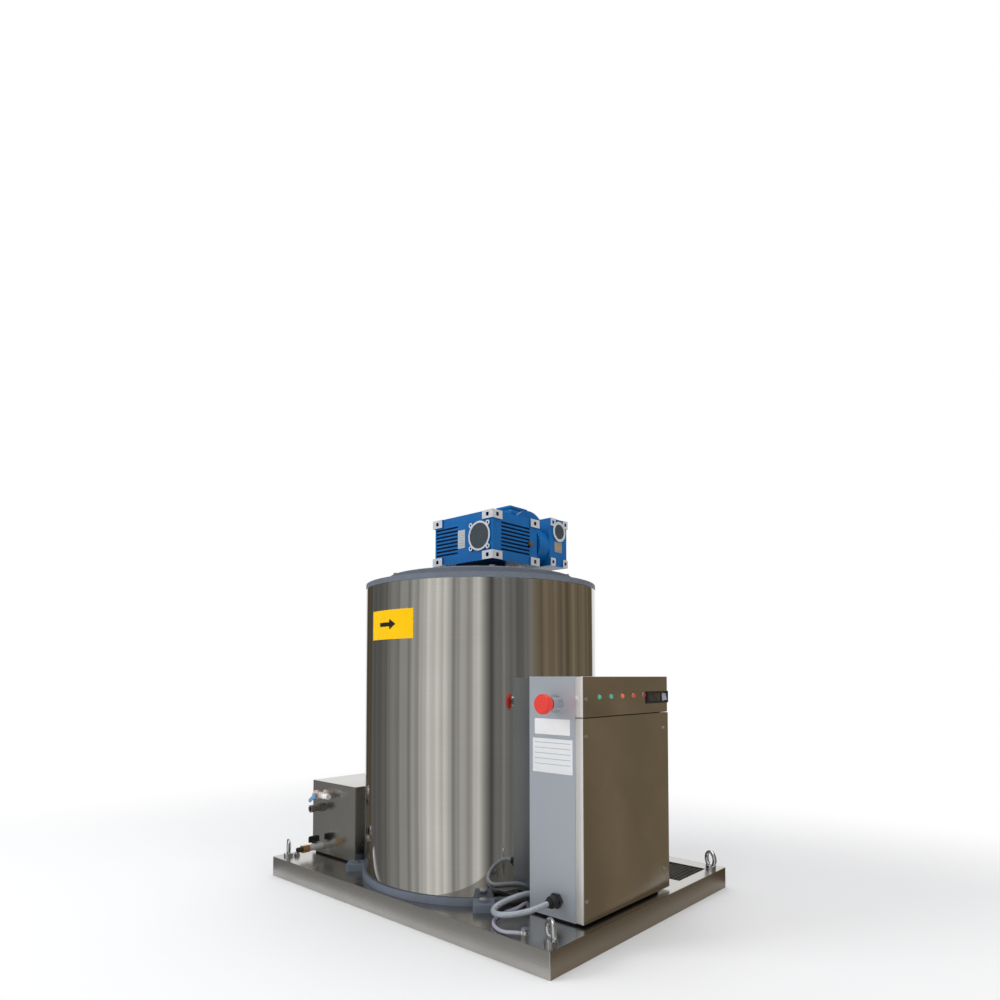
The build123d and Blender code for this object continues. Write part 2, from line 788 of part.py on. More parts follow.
# Vertical main shaft
shaft_bottom = foot_top + bearing_floor + 1
with BuildPart() as main_shaft:
    disc(level(shaft_bottom), shaft_radius, shaft_top - shaft_bottom)
    chamfer(main_shaft.edges().group_by(Axis.Z)[-1], 1.5)
main_shaft.part.label = "main_shaft"
export_step(main_shaft.part, "parts/main_shaft.step")


def radial_bar(angle, inner, outer, width, z0, z1, mode=Mode.ADD):
    """Upright bar between two radii at an angle about the drum axis."""
    with BuildSketch(level(z0)) as outline:
        with PolarLocations((inner + outer) / 2, 1, start_angle=angle):
            Rectangle(outer - inner, width)
    extrude(outline.sketch, amount=z1 - z0, mode=mode)


# Welded carrier: two hubs, four arms and two upright bars
with BuildPart() as blade_carrier:
    for z in (carrier_bottom, carrier_top):
        disc(level(z), carrier_hub_radius, carrier_hub_height)
        for angle in (blade_angle, squeegee_angle):
            radial_bar(angle, 0, carrier_bar_inner + 4, carrier_bar_width, z, z + carrier_arm_thickness)
    for angle in (blade_angle, squeegee_angle):
        radial_bar(angle, carrier_bar_inner, carrier_bar_outer, carrier_bar_width, blade_bottom, blade_top)
    disc(level(blade_bottom), shaft_radius + running_clearance, blade_top - blade_bottom, Mode.SUBTRACT)
blade_carrier.part.label = "blade_carrier"
export_step(blade_carrier.part, "parts/blade_carrier.step")

# Toothed scraper that breaks the ice off the wall
blade_tip = evaporator_bore - blade_gap
tooth_count = int((blade_top - blade_bottom) / tooth_pitch)
with BuildPart() as ice_blade:
    radial_bar(blade_angle, carrier_bar_outer, blade_tip, blade_thickness, blade_bottom, blade_top)
    for n in range(tooth_count):
        notch_z = blade_bottom + tooth_pitch * (n + 0.5) - tooth_width / 2
        radial_bar(blade_angle, blade_tip - tooth_depth, blade_tip + 5, 2 * blade_thickness,
                   notch_z, notch_z + tooth_width, Mode.SUBTRACT)
ice_blade.part.label = "ice_blade"
export_step(ice_blade.part, "parts/ice_blade.step")

# Rubber strip that wipes spare water off the wall
with BuildPart() as water_squeegee:
    radial_bar(squeegee_angle, carrier_bar_outer, evaporator_bore - squeegee_gap,
               squeegee_thickness, blade_bottom, blade_top)
water_squeegee.part.label = "water_squeegee"
export_step(water_squeegee.part, "parts/water_squeegee.step")

# Turning dish with spray tubes that wets the wall
with BuildPart() as water_distributor:
    disc(level(dish_floor_z), dish_radius, dish_height)
    disc(level(dish_floor_z + dish_wall), dish_radius - dish_wall, dish_height, Mode.SUBTRACT)
    disc(level(dish_floor_z), carrier_hub_radius - 4, dish_height)
    tube_z = dish_floor_z + dish_wall + spray_tube_radius + 1
    for n in range(spray_tube_count):
        turn = math.radians(360 / spray_tube_count * n)
        outward = Plane(origin=(drum_x, drum_y, tube_z), z_dir=(math.cos(turn), math.sin(turn), 0))
        disc(outward.offset(dish_radius - dish_wall), spray_tube_radius, spray_tube_reach - dish_radius + dish_wall)
        disc(outward.offset(dish_radius - 2 * dish_wall), spray_tube_radius - 1,
             spray_tube_reach, Mode.SUBTRACT)
    disc(level(dish_floor_z), shaft_radius + running_clearance, dish_height, Mode.SUBTRACT)
water_distributor.part.label = "water_distributor"
export_step(water_distributor.part, "parts/water_distributor.step")

# Bronze worm wheel on the main shaft
bearing_low = gear_bottom
bearing_high = gear_top - cap_thickness - output_bearing_width
with BuildPart() as worm_wheel:
    disc(level(gear_mid_z - wheel_thickness / 2), wheel_radius, wheel_thickness)
    with BuildSketch(level(gear_mid_z - wheel_thickness / 2)):
        with PolarLocations(wheel_radius, wheel_teeth):
            Rectangle(2 * wheel_tooth_depth, math.pi * wheel_radius / wheel_teeth)
    extrude(amount=wheel_thickness, mode=Mode.SUBTRACT)
    disc(level(bearing_low + 1), wheel_hub_radius, bearing_high + output_bearing_width - bearing_low - 1)
    disc(level(bearing_low), shaft_radius + running_clearance, gear_height, Mode.SUBTRACT)
worm_wheel.part.label = "worm_wheel"
export_step(worm_wheel.part, "parts/worm_wheel.step")

# Main gearbox housing: cast block with cooling fins and machined corner pads
fin_count = 8
fin_start_z = gear_mid_z - fin_pitch * (fin_count - 1) / 2
with BuildPart() as gear_housing:
    block(gear_x0 + gear_face_relief, gear_x1 - gear_face_relief,
          gear_y0 + gear_face_relief, gear_y1 - gear_face_relief, gear_bottom, gear_top)
    fillet(gear_housing.edges().filter_by(Axis.Z), gear_edge_radius)
    for n in range(fin_count):
        fin_z = fin_start_z + n * fin_pitch
        block(gear_x1 - gear_face_relief - fin_depth, gear_x1, gear_y0 + gear_pad_length,
              gear_y1 - gear_pad_length, fin_z - fin_groove / 2, fin_z + fin_groove / 2, Mode.SUBTRACT)
        block(gear_x0, gear_x0 + gear_face_relief + fin_depth, gear_y0 + gear_pad_length,
              gear_y1 - gear_pad_length, fin_z - fin_groove / 2, fin_z + fin_groove / 2, Mode.SUBTRACT)
        for y0, y1 in ((gear_y0, gear_y0 + gear_face_relief + fin_depth),
                       (gear_y1 - gear_face_relief - fin_depth, gear_y1)):
            block(gear_x0 + 10, drum_x, y0, y1, fin_z - fin_groove / 2, fin_z + fin_groove / 2,
                  Mode.SUBTRACT)
    for x0, sx in ((gear_x0, 1), (gear_x1, -1)):
        for y0, sy in ((gear_y0, 1), (gear_y1, -1)):
            for z0 in (gear_bottom, gear_top - gear_pad_height):
                x_far = x0 + sx * gear_pad_length
                y_far = y0 + sy * gear_pad_length
                block(min(x0, x_far), max(x0, x_far), min(y0, y0 + sy * 12), max(y0, y0 + sy * 12),
                      z0, z0 + gear_pad_height)
                block(min(x0, x0 + sx * 12), max(x0, x0 + sx * 12), min(y0, y_far), max(y0, y_far),
                      z0, z0 + gear_pad_height)
                pocket_z = z0 + gear_pad_height / 2
                pocket_x = x0 + sx * gear_pad_length / 2
                pocket_y = y0 + sy * gear_pad_length / 2
                half = gear_pad_pocket / 2
                block(pocket_x - half, pocket_x + half, min(y0, y0 + sy * 8), max(y0, y0 + sy * 8),
                      pocket_z - half, pocket_z + half, Mode.SUBTRACT)
                block(min(x0, x0 + sx * 8), max(x0, x0 + sx * 8), pocket_y - half, pocket_y + half,
                      pocket_z - half, pocket_z + half, Mode.SUBTRACT)
    worm_front = facing_front(worm_x, gear_y0 + gear_face_relief, gear_mid_z)
    disc(worm_front, worm_boss_radius, gear_face_relief)
    with BuildSketch(worm_front):
        with PolarLocations(ear_circle, 4, start_angle=45):
            Circle(ear_radius)
    extrude(amount=gear_face_relief)
    disc(level(gear_mid_z - wheel_chamber_half_height), wheel_chamber_radius,
         2 * wheel_chamber_half_height, Mode.SUBTRACT)
    disc(level(gear_bottom), output_bearing_radius, gear_height, Mode.SUBTRACT)
    disc(facing_front(worm_x, gear_y1, gear_mid_z), worm_bore_radius, gear_y1 - gear_y0, Mode.SUBTRACT)
    cap_seat = facing_front(worm_x, gear_y0 + cap_thickness, gear_mid_z)
    disc(cap_seat, worm_boss_radius - 4.5, cap_thickness, Mode.SUBTRACT)
    with BuildSketch(facing_front(worm_x, gear_y0, gear_mid_z)):
        with PolarLocations(ear_circle, 4, start_angle=45):
            Circle(ear_hole_radius)
    extrude(amount=-10, mode=Mode.SUBTRACT)
gear_housing.part.label = "gear_housing"
export_step(gear_housing.part, "parts/gear_housing.step")

# Hardened worm with its two journals, and the input end for the small wheel
worm_mid_y = drum_y
bearing_front_y = gear_y0 + 10
bearing_back_y = gear_y1 - 10 - worm_bearing_width
small_hub_y0 = small_front_y + 1
small_hub_y1 = small_back_y - 1
with BuildPart() as worm_shaft:
    worm_start = facing_front(worm_x, bearing_front_y + 1, gear_mid_z)
    disc(worm_start, worm_journal_radius, -(gear_y1 - 4 - bearing_front_y - 1))
    disc(facing_front(worm_x, worm_mid_y + worm_thread_length / 2, gear_mid_z), worm_radius, worm_thread_length)
    thread_turns = int(worm_thread_length / worm_thread_pitch)
    for n in range(thread_turns):
        groove_y = worm_mid_y + worm_thread_pitch * (n - (thread_turns - 1) / 2) + worm_thread_pitch / 4
        with BuildSketch(facing_front(worm_x, groove_y, gear_mid_z)):
            Circle(worm_radius + 1)
            Circle(worm_radius - worm_thread_depth, mode=Mode.SUBTRACT)
        extrude(amount=worm_thread_pitch / 2, mode=Mode.SUBTRACT)
    disc(facing_front(worm_x, small_hub_y1, gear_mid_z), input_shaft_radius, small_hub_y1 - gear_y1 + 5)
worm_shaft.part.label = "worm_shaft"
export_step(worm_shaft.part, "parts/worm_shaft.step")

# Small bronze wheel on the input end of the worm
with BuildPart() as small_worm_wheel:
    wheel_start = facing_front(worm_x, small_mid_y + small_wheel_thickness / 2, gear_mid_z)
    disc(wheel_start, small_wheel_radius, small_wheel_thickness)
    with BuildSketch(wheel_start):
        with PolarLocations(small_wheel_radius, small_wheel_teeth):
            Rectangle(wheel_tooth_depth, math.pi * small_wheel_radius / small_wheel_teeth)
    extrude(amount=small_wheel_thickness, mode=Mode.SUBTRACT)
    hub_start = facing_front(worm_x, small_hub_y1, gear_mid_z)
    disc(hub_start, small_hub_radius, small_hub_y1 - small_hub_y0)
    disc(hub_start, input_shaft_radius + running_clearance, small_hub_y1 - small_hub_y0, Mode.SUBTRACT)
small_worm_wheel.part.label = "small_worm_wheel"
export_step(small_worm_wheel.part, "parts/small_worm_wheel.step")

# Small gearbox housing with its adapter flange
small_low = gear_mid_z - small_below_axis
small_high = gear_mid_z + small_above_axis
with BuildPart() as small_housing:
    block(small_x0 + small_pad_relief, small_x1 - small_pad_relief,
          small_front_y, small_back_y, small_low, small_high)
    fillet(small_housing.edges().filter_by(Axis.Z), gear_edge_radius)
    for x0, sx in ((small_x0, 1), (small_x1, -1)):
        for z0 in (small_low, small_high - small_pad):
            for y0 in (small_front_y, small_back_y - small_pad):
                x_far = x0 + sx * 12
                block(min(x0, x_far), max(x0, x_far), y0, y0 + small_pad, z0, z0 + small_pad)
                pocket = facing_right(x0 - sx * 1, y0 + small_pad / 2, z0 + small_pad / 2)
                slab(pocket, 8, 8, sx * 7, Mode.SUBTRACT)
    disc(facing_right(small_x0, small_mid_y, motor_z), small_worm_bore_radius + 7, 2 * small_half_width)
    disc(facing_front(worm_x, small_front_y, gear_mid_z), adapter_radius, small_front_y - gear_y1)
    disc(facing_front(worm_x, small_back_y, gear_mid_z), small_bearing_radius, small_depth, Mode.SUBTRACT)
    disc(facing_front(worm_x, small_mid_y + small_chamber_half_depth, gear_mid_z),
         small_chamber_radius, 2 * small_chamber_half_depth, Mode.SUBTRACT)
    disc(facing_front(worm_x, small_front_y, gear_mid_z), small_bearing_radius,
         small_front_y - gear_y1, Mode.SUBTRACT)
    disc(facing_right(small_x0, small_mid_y, motor_z), small_worm_bore_radius,
         2 * small_half_width, Mode.SUBTRACT)
small_housing.part.label = "small_housing"
export_step(small_housing.part, "parts/small_housing.step")

# Ball bearings: lower shaft, wheel, worm, small wheel and small worm
with BuildPart() as bearings:
    ring(level(foot_top + bearing_floor), lower_bearing_radius - running_clearance,
         shaft_radius + running_clearance, lower_bearing_width)
    for z in (bearing_low, bearing_high):
        ring(level(z), output_bearing_radius - running_clearance, wheel_hub_radius + running_clearance,
             output_bearing_width)
    for y in (bearing_front_y + worm_bearing_width, bearing_back_y + worm_bearing_width):
        ring(facing_front(worm_x, y, gear_mid_z), worm_bore_radius - running_clearance,
             worm_journal_radius + running_clearance, worm_bearing_width)
    for y in (small_front_y + small_bearing_width, small_back_y):
        ring(facing_front(worm_x, y, gear_mid_z), small_bearing_radius - running_clearance,
             small_hub_radius + running_clearance, small_bearing_width)
    for x in (small_x0 + 6, small_x1 - 6 - small_bearing_width):
        ring(facing_right(x, small_mid_y, motor_z), small_worm_bore_radius - running_clearance,
             motor_shaft_radius + running_clearance, small_bearing_width)
bearings.part.label = "bearings"
export_step(bearings.part, "parts/bearings.step")

# Pressed caps over the bores that show
with BuildPart() as bore_caps:
    disc(facing_front(worm_x, gear_y0 + cap_thickness, gear_mid_z), worm_boss_radius - 4.5 - cap_fit,
         cap_thickness - 0.5)
    disc(level(gear_top - cap_thickness), output_bearing_radius - cap_fit, cap_thickness - 0.5)
    disc(facing_right(small_x1 - cap_thickness - 0.5, small_mid_y, motor_z),
         small_worm_bore_radius - cap_fit, cap_thickness)
bore_caps.part.label = "bore_caps"
export_step(bore_caps.part, "parts/bore_caps.step")

# Brass oil plugs in the right face and the top of the main gearbox
plug_y = gear_y1 - 34.0
plug_places = [facing_right(gear_x1 - gear_face_relief, plug_y, gear_mid_z - 6),
               Plane(origin=(gear_x0 + 24, drum_y + 52, gear_top))]
with BuildPart() as oil_plugs:
    for plane in plug_places:
        hexagon(plane, 13, 5)
        disc(plane.offset(5), 4.2, 1.2)
oil_plugs.part.label = "oil_plugs"
export_step(oil_plugs.part, "parts/oil_plugs.step")

# Motor shaft with the small worm and the armature
fan_end_x = motor_x0 - fan_cover_length + 8
worm_end_x = small_x1 - 8.0
small_worm_length = 34.0
armature_x0 = motor_x0 + 30.0
with BuildPart() as motor_shaft:
    disc(facing_right(fan_end_x, small_mid_y, motor_z), motor_shaft_radius, worm_end_x - fan_end_x)
    disc(facing_right(worm_x - small_worm_length / 2, small_mid_y, motor_z), small_worm_radius, small_worm_length)
    disc(facing_right(armature_x0, small_mid_y, motor_z), armature_radius, armature_length)
motor_shaft.part.label = "motor_shaft"
export_step(motor_shaft.part, "parts/motor_shaft.step")

# Motor body: flange, finned shell and the pad for the terminal box
terminal_mid_x = motor_x0 + 124.0
with BuildPart() as motor_body:
    disc(facing_right(motor_x1 - motor_flange_thickness, small_mid_y, motor_z), motor_flange_radius,
         motor_flange_thickness)
    disc(facing_right(motor_x0, small_mid_y, motor_z), motor_core_radius, motor_length)
    with BuildSketch(facing_right(motor_x0 + 8, small_mid_y, motor_z)):
        with PolarLocations((motor_core_radius + motor_fin_radius) / 2 - 1, motor_fin_count):
            Rectangle(motor_fin_radius - motor_core_radius + 2, motor_fin_thickness)
    extrude(amount=motor_length - 14)
    disc(facing_right(motor_x0, small_mid_y, motor_z), motor_fin_radius, 8)
    slab(Plane(origin=(terminal_mid_x, small_mid_y, motor_z)), 48, 60, terminal_base_z - motor_z)
    disc(facing_right(motor_x0 + motor_end_wall, small_mid_y, motor_z), motor_bore_radius,
         motor_length - 2 * motor_end_wall, Mode.SUBTRACT)
    disc(facing_right(motor_x0, small_mid_y, motor_z), motor_shaft_radius + running_clearance,
         motor_length + motor_flange_thickness, Mode.SUBTRACT)
motor_body.part.label = "motor_body"
export_step(motor_body.part, "parts/motor_body.step")

# Cooling fan on the motor shaft
fan_x = motor_x0 - fan_width - 4
with BuildPart() as motor_fan:
    disc(facing_right(fan_x, small_mid_y, motor_z), fan_hub_radius, fan_width)
    with BuildSketch(facing_right(fan_x, small_mid_y, motor_z)):
        with PolarLocations(fan_radius / 2, fan_blade_count):
            Rectangle(fan_radius, 2)
    extrude(amount=fan_width)
    disc(facing_right(fan_x, small_mid_y, motor_z), motor_shaft_radius + running_clearance, fan_width,
         Mode.SUBTRACT)
motor_fan.part.label = "motor_fan"
export_step(motor_fan.part, "parts/motor_fan.step")

# Pressed steel fan cover with air slots
cover_x0 = motor_x0 - fan_cover_length
with BuildPart() as fan_cover:
    disc(facing_right(cover_x0, small_mid_y, motor_z), fan_cover_radius, fan_cover_length + 8)
    fillet(fan_cover.edges().group_by(Axis.X)[0], 4)
    disc(facing_right(cover_x0 + fan_cover_wall, small_mid_y, motor_z), fan_cover_radius - fan_cover_wall,
         fan_cover_length + 8, Mode.SUBTRACT)
    with BuildSketch(facing_right(cover_x0, small_mid_y, motor_z)):
        for circle_radius, slots in ((22, 8), (36, 14), (48, 18)):
            with PolarLocations(circle_radius, slots):
                Rectangle(9, 4)
    extrude(amount=fan_cover_wall, mode=Mode.SUBTRACT)
fan_cover.part.label = "fan_cover"
export_step(fan_cover.part, "parts/fan_cover.step")

# Terminal box on the motor
with BuildPart() as terminal_box:
    slab(Plane(origin=(terminal_mid_x, small_mid_y, terminal_base_z)), terminal_length, terminal_width,
         terminal_top_z - terminal_base_z)
    fillet(terminal_box.edges().filter_by(Axis.Z), 6)
    fillet(terminal_box.edges().group_by(Axis.Z)[-1], 3)
    slab(Plane(origin=(terminal_mid_x, small_mid_y, terminal_base_z + 3)), terminal_length - 6,
         terminal_width - 6, terminal_top_z - terminal_base_z - 6, Mode.SUBTRACT)
    slab(Plane(origin=(terminal_mid_x, small_mid_y, terminal_base_z)), 30, 30, 3, Mode.SUBTRACT)
terminal_box.part.label = "terminal_box"
export_step(terminal_box.part, "parts/terminal_box.step")

# Blank plates: gearboxes, control box, and the yellow arrow plate on the drum
plate_thickness = 0.6
plate_gap = 0.05
arrow_plate_angles = (-106.5, -77.0)
arrow_plate_z = (601.0, 666.0)
with BuildPart() as nameplates:
    slab(facing_front(worm_x - 62, gear_y0 + gear_face_relief, gear_mid_z), 24, 44, plate_thickness)
    slab(facing_right(small_x1 - small_pad_relief, small_mid_y - 2, gear_mid_z), 30, 26, plate_thickness)
    slab(facing_front(365.5, box_front, 420.5), 87, 31, plate_thickness)
    slab(facing_front(366.0, box_front, 363.5), 98, 67, plate_thickness)
    with BuildSketch(level(arrow_plate_z[0])):
        Circle(drum_radius + plate_gap + plate_thickness)
        Circle(drum_radius + plate_gap, mode=Mode.SUBTRACT)
        arrow_cut_reach = 2 * drum_radius
        with BuildLine():
            corner_a = (arrow_cut_reach * math.cos(math.radians(arrow_plate_angles[0])),
                        arrow_cut_reach * math.sin(math.radians(arrow_plate_angles[0])))
            corner_b = (arrow_cut_reach * math.cos(math.radians(arrow_plate_angles[1])),
                        arrow_cut_reach * math.sin(math.radians(arrow_plate_angles[1])))
            Polyline((0, 0), corner_a, corner_b, close=True)
        make_face(mode=Mode.INTERSECT)
    extrude(amount=arrow_plate_z[1] - arrow_plate_z[0])
nameplates.part.label = "nameplates"
export_step(nameplates.part, "parts/nameplates.step")

# Water tank, folded and welded sheet, open at the top
tank_rim = tank_top - tank_wall
with BuildPart() as water_tank:
    with BuildSketch(Plane.XY.offset(box_bottom)):
        tank_outline()
    extrude(amount=tank_rim - box_bottom)
    with BuildSketch(Plane.XY.offset(box_bottom + tank_wall)):
        tank_outline()
        offset(amount=-tank_wall, kind=Kind.INTERSECTION, mode=Mode.REPLACE)
    extrude(amount=tank_rim - box_bottom, mode=Mode.SUBTRACT)
    disc(Plane(origin=(riser_x, riser_y, box_bottom)), spout_radius + bolt_clearance, tank_wall, Mode.SUBTRACT)
    for x, z in ((inlet_x, inlet_z), (overflow_x, overflow_z), (drain_x, drain_z)):
        disc(facing_front(x, tank_front, z), fitting_stub_radius + 0.3, -tank_wall, Mode.SUBTRACT)
water_tank.part.label = "water_tank"
export_step(water_tank.part, "parts/water_tank.step")

# Tank cover with a lip that drops inside the walls
with BuildPart() as tank_cover:
    with BuildSketch(Plane.XY.offset(tank_rim)):
        tank_outline()
    extrude(amount=tank_wall)
    with BuildSketch(Plane.XY.offset(tank_rim - cover_lip)):
        tank_outline()
        offset(amount=-tank_wall - cover_lip_clearance, kind=Kind.INTERSECTION, mode=Mode.REPLACE)
    extrude(amount=cover_lip)
    with BuildSketch(Plane.XY.offset(tank_rim - cover_lip)):
        tank_outline()
        offset(amount=-2 * tank_wall - cover_lip_clearance, kind=Kind.INTERSECTION, mode=Mode.REPLACE)
    extrude(amount=cover_lip, mode=Mode.SUBTRACT)
    disc(Plane(origin=(pump_x, pump_y, tank_rim)), feed_pipe_radius + bolt_clearance, tank_wall, Mode.SUBTRACT)
tank_cover.part.label = "tank_cover"
export_step(tank_cover.part, "parts/tank_cover.step")

# Fittings in the tank's front wall: inlet valve, overflow and drain valve
valve_y = tank_front - inlet_reach
lever_stem_radius = 3.0
lever_plane_y = valve_y - 14
drain_reach = 73.0
handle_y = tank_front - 24
handle_z = drain_z + 10
with BuildPart() as tank_fittings:
    disc(facing_front(inlet_x, pivot_y - 6, inlet_z), fitting_stub_radius, pivot_y - 6 - valve_y)
    hexagon(facing_front(inlet_x, tank_front, inlet_z), 22, 6)
    hexagon(facing_front(inlet_x, tank_front + tank_wall + 5, inlet_z), 20, 5)
    disc(facing_right(inlet_x - 18, valve_y, inlet_z), 11, 16)
    disc(facing_right(inlet_x - 3, valve_y, inlet_z), 8, 22)
    disc(facing_right(inlet_x + 18, valve_y, inlet_z), 7, 23)
    disc(facing_front(inlet_x, valve_y, inlet_z), 8, 11)
    disc(facing_front(inlet_x, valve_y - 11, inlet_z), lever_stem_radius + pivot_clearance, -7, Mode.SUBTRACT)
    slab(Plane(origin=(inlet_x, pivot_y - 2, inlet_z - 6)), 6, 14, 12)
    disc(facing_right(inlet_x - 3, pivot_y, inlet_z), pivot_pin_radius + pivot_clearance, 6, Mode.SUBTRACT)
    disc(facing_front(overflow_x, tank_front + 8, overflow_z), fitting_stub_radius, 8)
    hexagon(facing_front(overflow_x, tank_front, overflow_z), 20, 9)
    disc(facing_front(overflow_x, tank_front - 9, overflow_z), 8, 14)
    disc(facing_front(overflow_x, tank_front - 23, overflow_z), 9.5, 12)
    disc(facing_front(overflow_x, tank_front - 12, overflow_z), 5, 23, Mode.SUBTRACT)
    disc(facing_front(drain_x, tank_front + 8, drain_z), fitting_stub_radius, 8)
    disc(facing_front(drain_x, tank_front, drain_z), 8.5, 40)
    hexagon(facing_front(drain_x, tank_front - 40, drain_z), 18, 20)
    disc(facing_front(drain_x, tank_front - 60, drain_z), 6.5, drain_reach - 60)
    disc(facing_front(drain_x, tank_front - 55, drain_z), 4, drain_reach - 55, Mode.SUBTRACT)
    disc(Plane(origin=(drain_x, handle_y, drain_z)), 6, handle_z - drain_z)
    disc(Plane(origin=(drain_x, handle_y, handle_z - 6)), lever_stem_radius + pivot_clearance, 6, Mode.SUBTRACT)
tank_fittings.part.label = "tank_fittings"
export_step(tank_fittings.part, "parts/tank_fittings.step")

# Blue lever of the inlet valve
lever_length = 30.0
lever_turn = 215.0
with BuildPart() as inlet_lever:
    disc(facing_front(inlet_x, valve_y - 5, inlet_z), lever_stem_radius, 12)
    disc(facing_front(inlet_x, lever_plane_y, inlet_z), 7, 3)
    with BuildSketch(facing_front(inlet_x, lever_plane_y, inlet_z)):
        with PolarLocations(lever_length / 2, 1, start_angle=lever_turn):
            RectangleRounded(lever_length, 9, 4)
    extrude(amount=3)
inlet_lever.part.label = "inlet_lever"
export_step(inlet_lever.part, "parts/inlet_lever.step")

# Black butterfly handle of the drain valve
with BuildPart() as drain_handle:
    disc(Plane(origin=(drain_x, handle_y, handle_z - 5)), lever_stem_radius, 8)
    disc(Plane(origin=(drain_x, handle_y, handle_z + 1)), 7, 7)
    slab(Plane(origin=(drain_x, handle_y, handle_z + 3)), 5, 30, 16)
    fillet(drain_handle.edges().filter_by(Axis.X).group_by(Axis.Z)[-1], 5)
drain_handle.part.label = "drain_handle"
export_step(drain_handle.part, "parts/drain_handle.step")

# Float with its arm; it hangs low because the tank is empty
arm_gap = 0.4
arm_x = inlet_x + 3 + arm_gap
drop_turn = math.radians(float_drop)
float_centre = (inlet_x, pivot_y + float_reach * math.cos(drop_turn),
                inlet_z - float_reach * math.sin(drop_turn))
with BuildPart() as float_arm:
    disc(facing_right(inlet_x - 3 - arm_gap, pivot_y, inlet_z), pivot_pin_radius, 6 + 2 * arm_gap)
    disc(facing_right(inlet_x - 3 - arm_gap - 2, pivot_y, inlet_z), 4, 2)
    disc(facing_right(arm_x, pivot_y, inlet_z), 5, 4)
    arm_dir = (0, math.cos(drop_turn), -math.sin(drop_turn))
    arm_start = Plane(origin=(arm_x + 2, pivot_y, inlet_z), z_dir=arm_dir)
    disc(arm_start, 1.8, float_reach - 10)
    with Locations(Location(float_centre)):
        Sphere(float_radius)
float_arm.part.label = "float_arm"
export_step(float_arm.part, "parts/float_arm.step")

# Sealed circulation pump that stands on the tank floor
tank_floor = box_bottom + tank_wall
with BuildPart() as circulation_pump:
    disc(Plane(origin=(pump_x, pump_y, tank_floor)), pump_radius, pump_height)
    fillet(circulation_pump.edges().group_by(Axis.Z)[-1], 5)
    disc(Plane(origin=(pump_x, pump_y, tank_floor)), pump_radius + 3, 12)
    disc(Plane(origin=(pump_x, pump_y, tank_floor + pump_height)), feed_pipe_radius + 2, 8)
circulation_pump.part.label = "circulation_pump"
export_step(circulation_pump.part, "parts/circulation_pump.step")

# Feed pipe from the pump, up behind the drum and down through the lid
feed_route = [
    (pump_x, pump_y, tank_floor + pump_height + 8),
    (pump_x, pump_y, feed_pipe_top),
    (*feed_place, feed_pipe_top),
    (*feed_place, ring_top - 4),
]
with BuildPart() as feed_pipe:
    tube_along(feed_route, feed_pipe_radius, [feed_bend] * 2, bore=feed_pipe_radius - 1)
feed_pipe.part.label = "feed_pipe"
export_step(feed_pipe.part, "parts/feed_pipe.step")

# Control box casing, open towards the covers
stop_hole_radius = 11.2
gland_hole_radius = 8.3
with BuildPart() as control_casing:
    block(box_left, box_seam_x, box_front, box_back, box_bottom, box_top)
    block(box_left + box_wall, box_seam_x - box_wall, box_front + box_wall, box_back - box_wall,
          box_bottom + box_wall, box_top - box_wall, Mode.SUBTRACT)
    block(box_seam_x - box_wall, box_seam_x, box_front + box_lip, box_back - box_lip,
          box_bottom + box_lip, box_top - box_lip, Mode.SUBTRACT)
    disc(facing_front(stop_x, box_front, stop_z), stop_hole_radius, -box_wall, Mode.SUBTRACT)
    disc(facing_front(gland_x, box_front, gland_z), gland_hole_radius, -box_wall, Mode.SUBTRACT)
control_casing.part.label = "control_casing"
export_step(control_casing.part, "parts/control_casing.step")

# Screw places on the covers, as (y, z)
door_screws = [(y, z) for y in (box_front + 8, box_back - 16) for z in (96.5, 405.0)]
fascia_screw = (box_front + 8, 476.0)
side_screw_z = 503.0
cover_inner = box_right - box_wall
side_screw_x = (box_seam_x + box_right) / 2

# Upper cover with the lamps and the controller
with BuildPart() as control_fascia:
    block(box_seam_x, box_right, box_front, box_back, seam_z, box_top)
    block(box_seam_x, cover_inner, box_front + box_wall, box_back - box_wall,
          seam_z + box_wall, box_top - box_wall, Mode.SUBTRACT)
    for y in lamp_places:
        disc(facing_right(cover_inner, y, lamp_z), lamp_radius, box_wall, Mode.SUBTRACT)
    block(cover_inner, box_right, module_front + 3, module_back - 3,
          module_z - module_half_height + 2, module_z + module_half_height - 2, Mode.SUBTRACT)
    disc(facing_right(cover_inner, *fascia_screw), screw_shank_radius + 0.3, box_wall, Mode.SUBTRACT)
    disc(facing_front(side_screw_x, box_back - box_wall, side_screw_z), screw_shank_radius + 0.3,
         -box_wall, Mode.SUBTRACT)
control_fascia.part.label = "control_fascia"
export_step(control_fascia.part, "parts/control_fascia.step")

# Lower cover, a screwed door panel
with BuildPart() as control_door:
    block(box_seam_x, box_right, box_front, door_back, box_bottom, seam_z - seam_gap)
    block(box_seam_x, cover_inner, box_front + box_wall, door_back - box_wall,
          box_bottom + box_wall, seam_z - seam_gap - box_wall, Mode.SUBTRACT)
    for y, z in door_screws:
        disc(facing_right(cover_inner, y, z), screw_shank_radius + 0.3, box_wall, Mode.SUBTRACT)
control_door.part.label = "control_door"
export_step(control_door.part, "parts/control_door.step")

# Screws of the two covers
with BuildPart() as cover_screws:
    for y, z in [*door_screws, fascia_screw]:
        disc(facing_right(box_right, y, z), screw_radius, screw_head)
        disc(facing_right(box_right, y, z), screw_shank_radius, -(box_right - box_seam_x) + 2)
    side_plane = Plane(origin=(side_screw_x, box_back, side_screw_z), x_dir=(1, 0, 0), z_dir=(0, 1, 0))
    disc(side_plane, screw_radius, screw_head)
    disc(side_plane, screw_shank_radius, -8)
cover_screws.part.label = "cover_screws"
export_step(cover_screws.part, "parts/cover_screws.step")

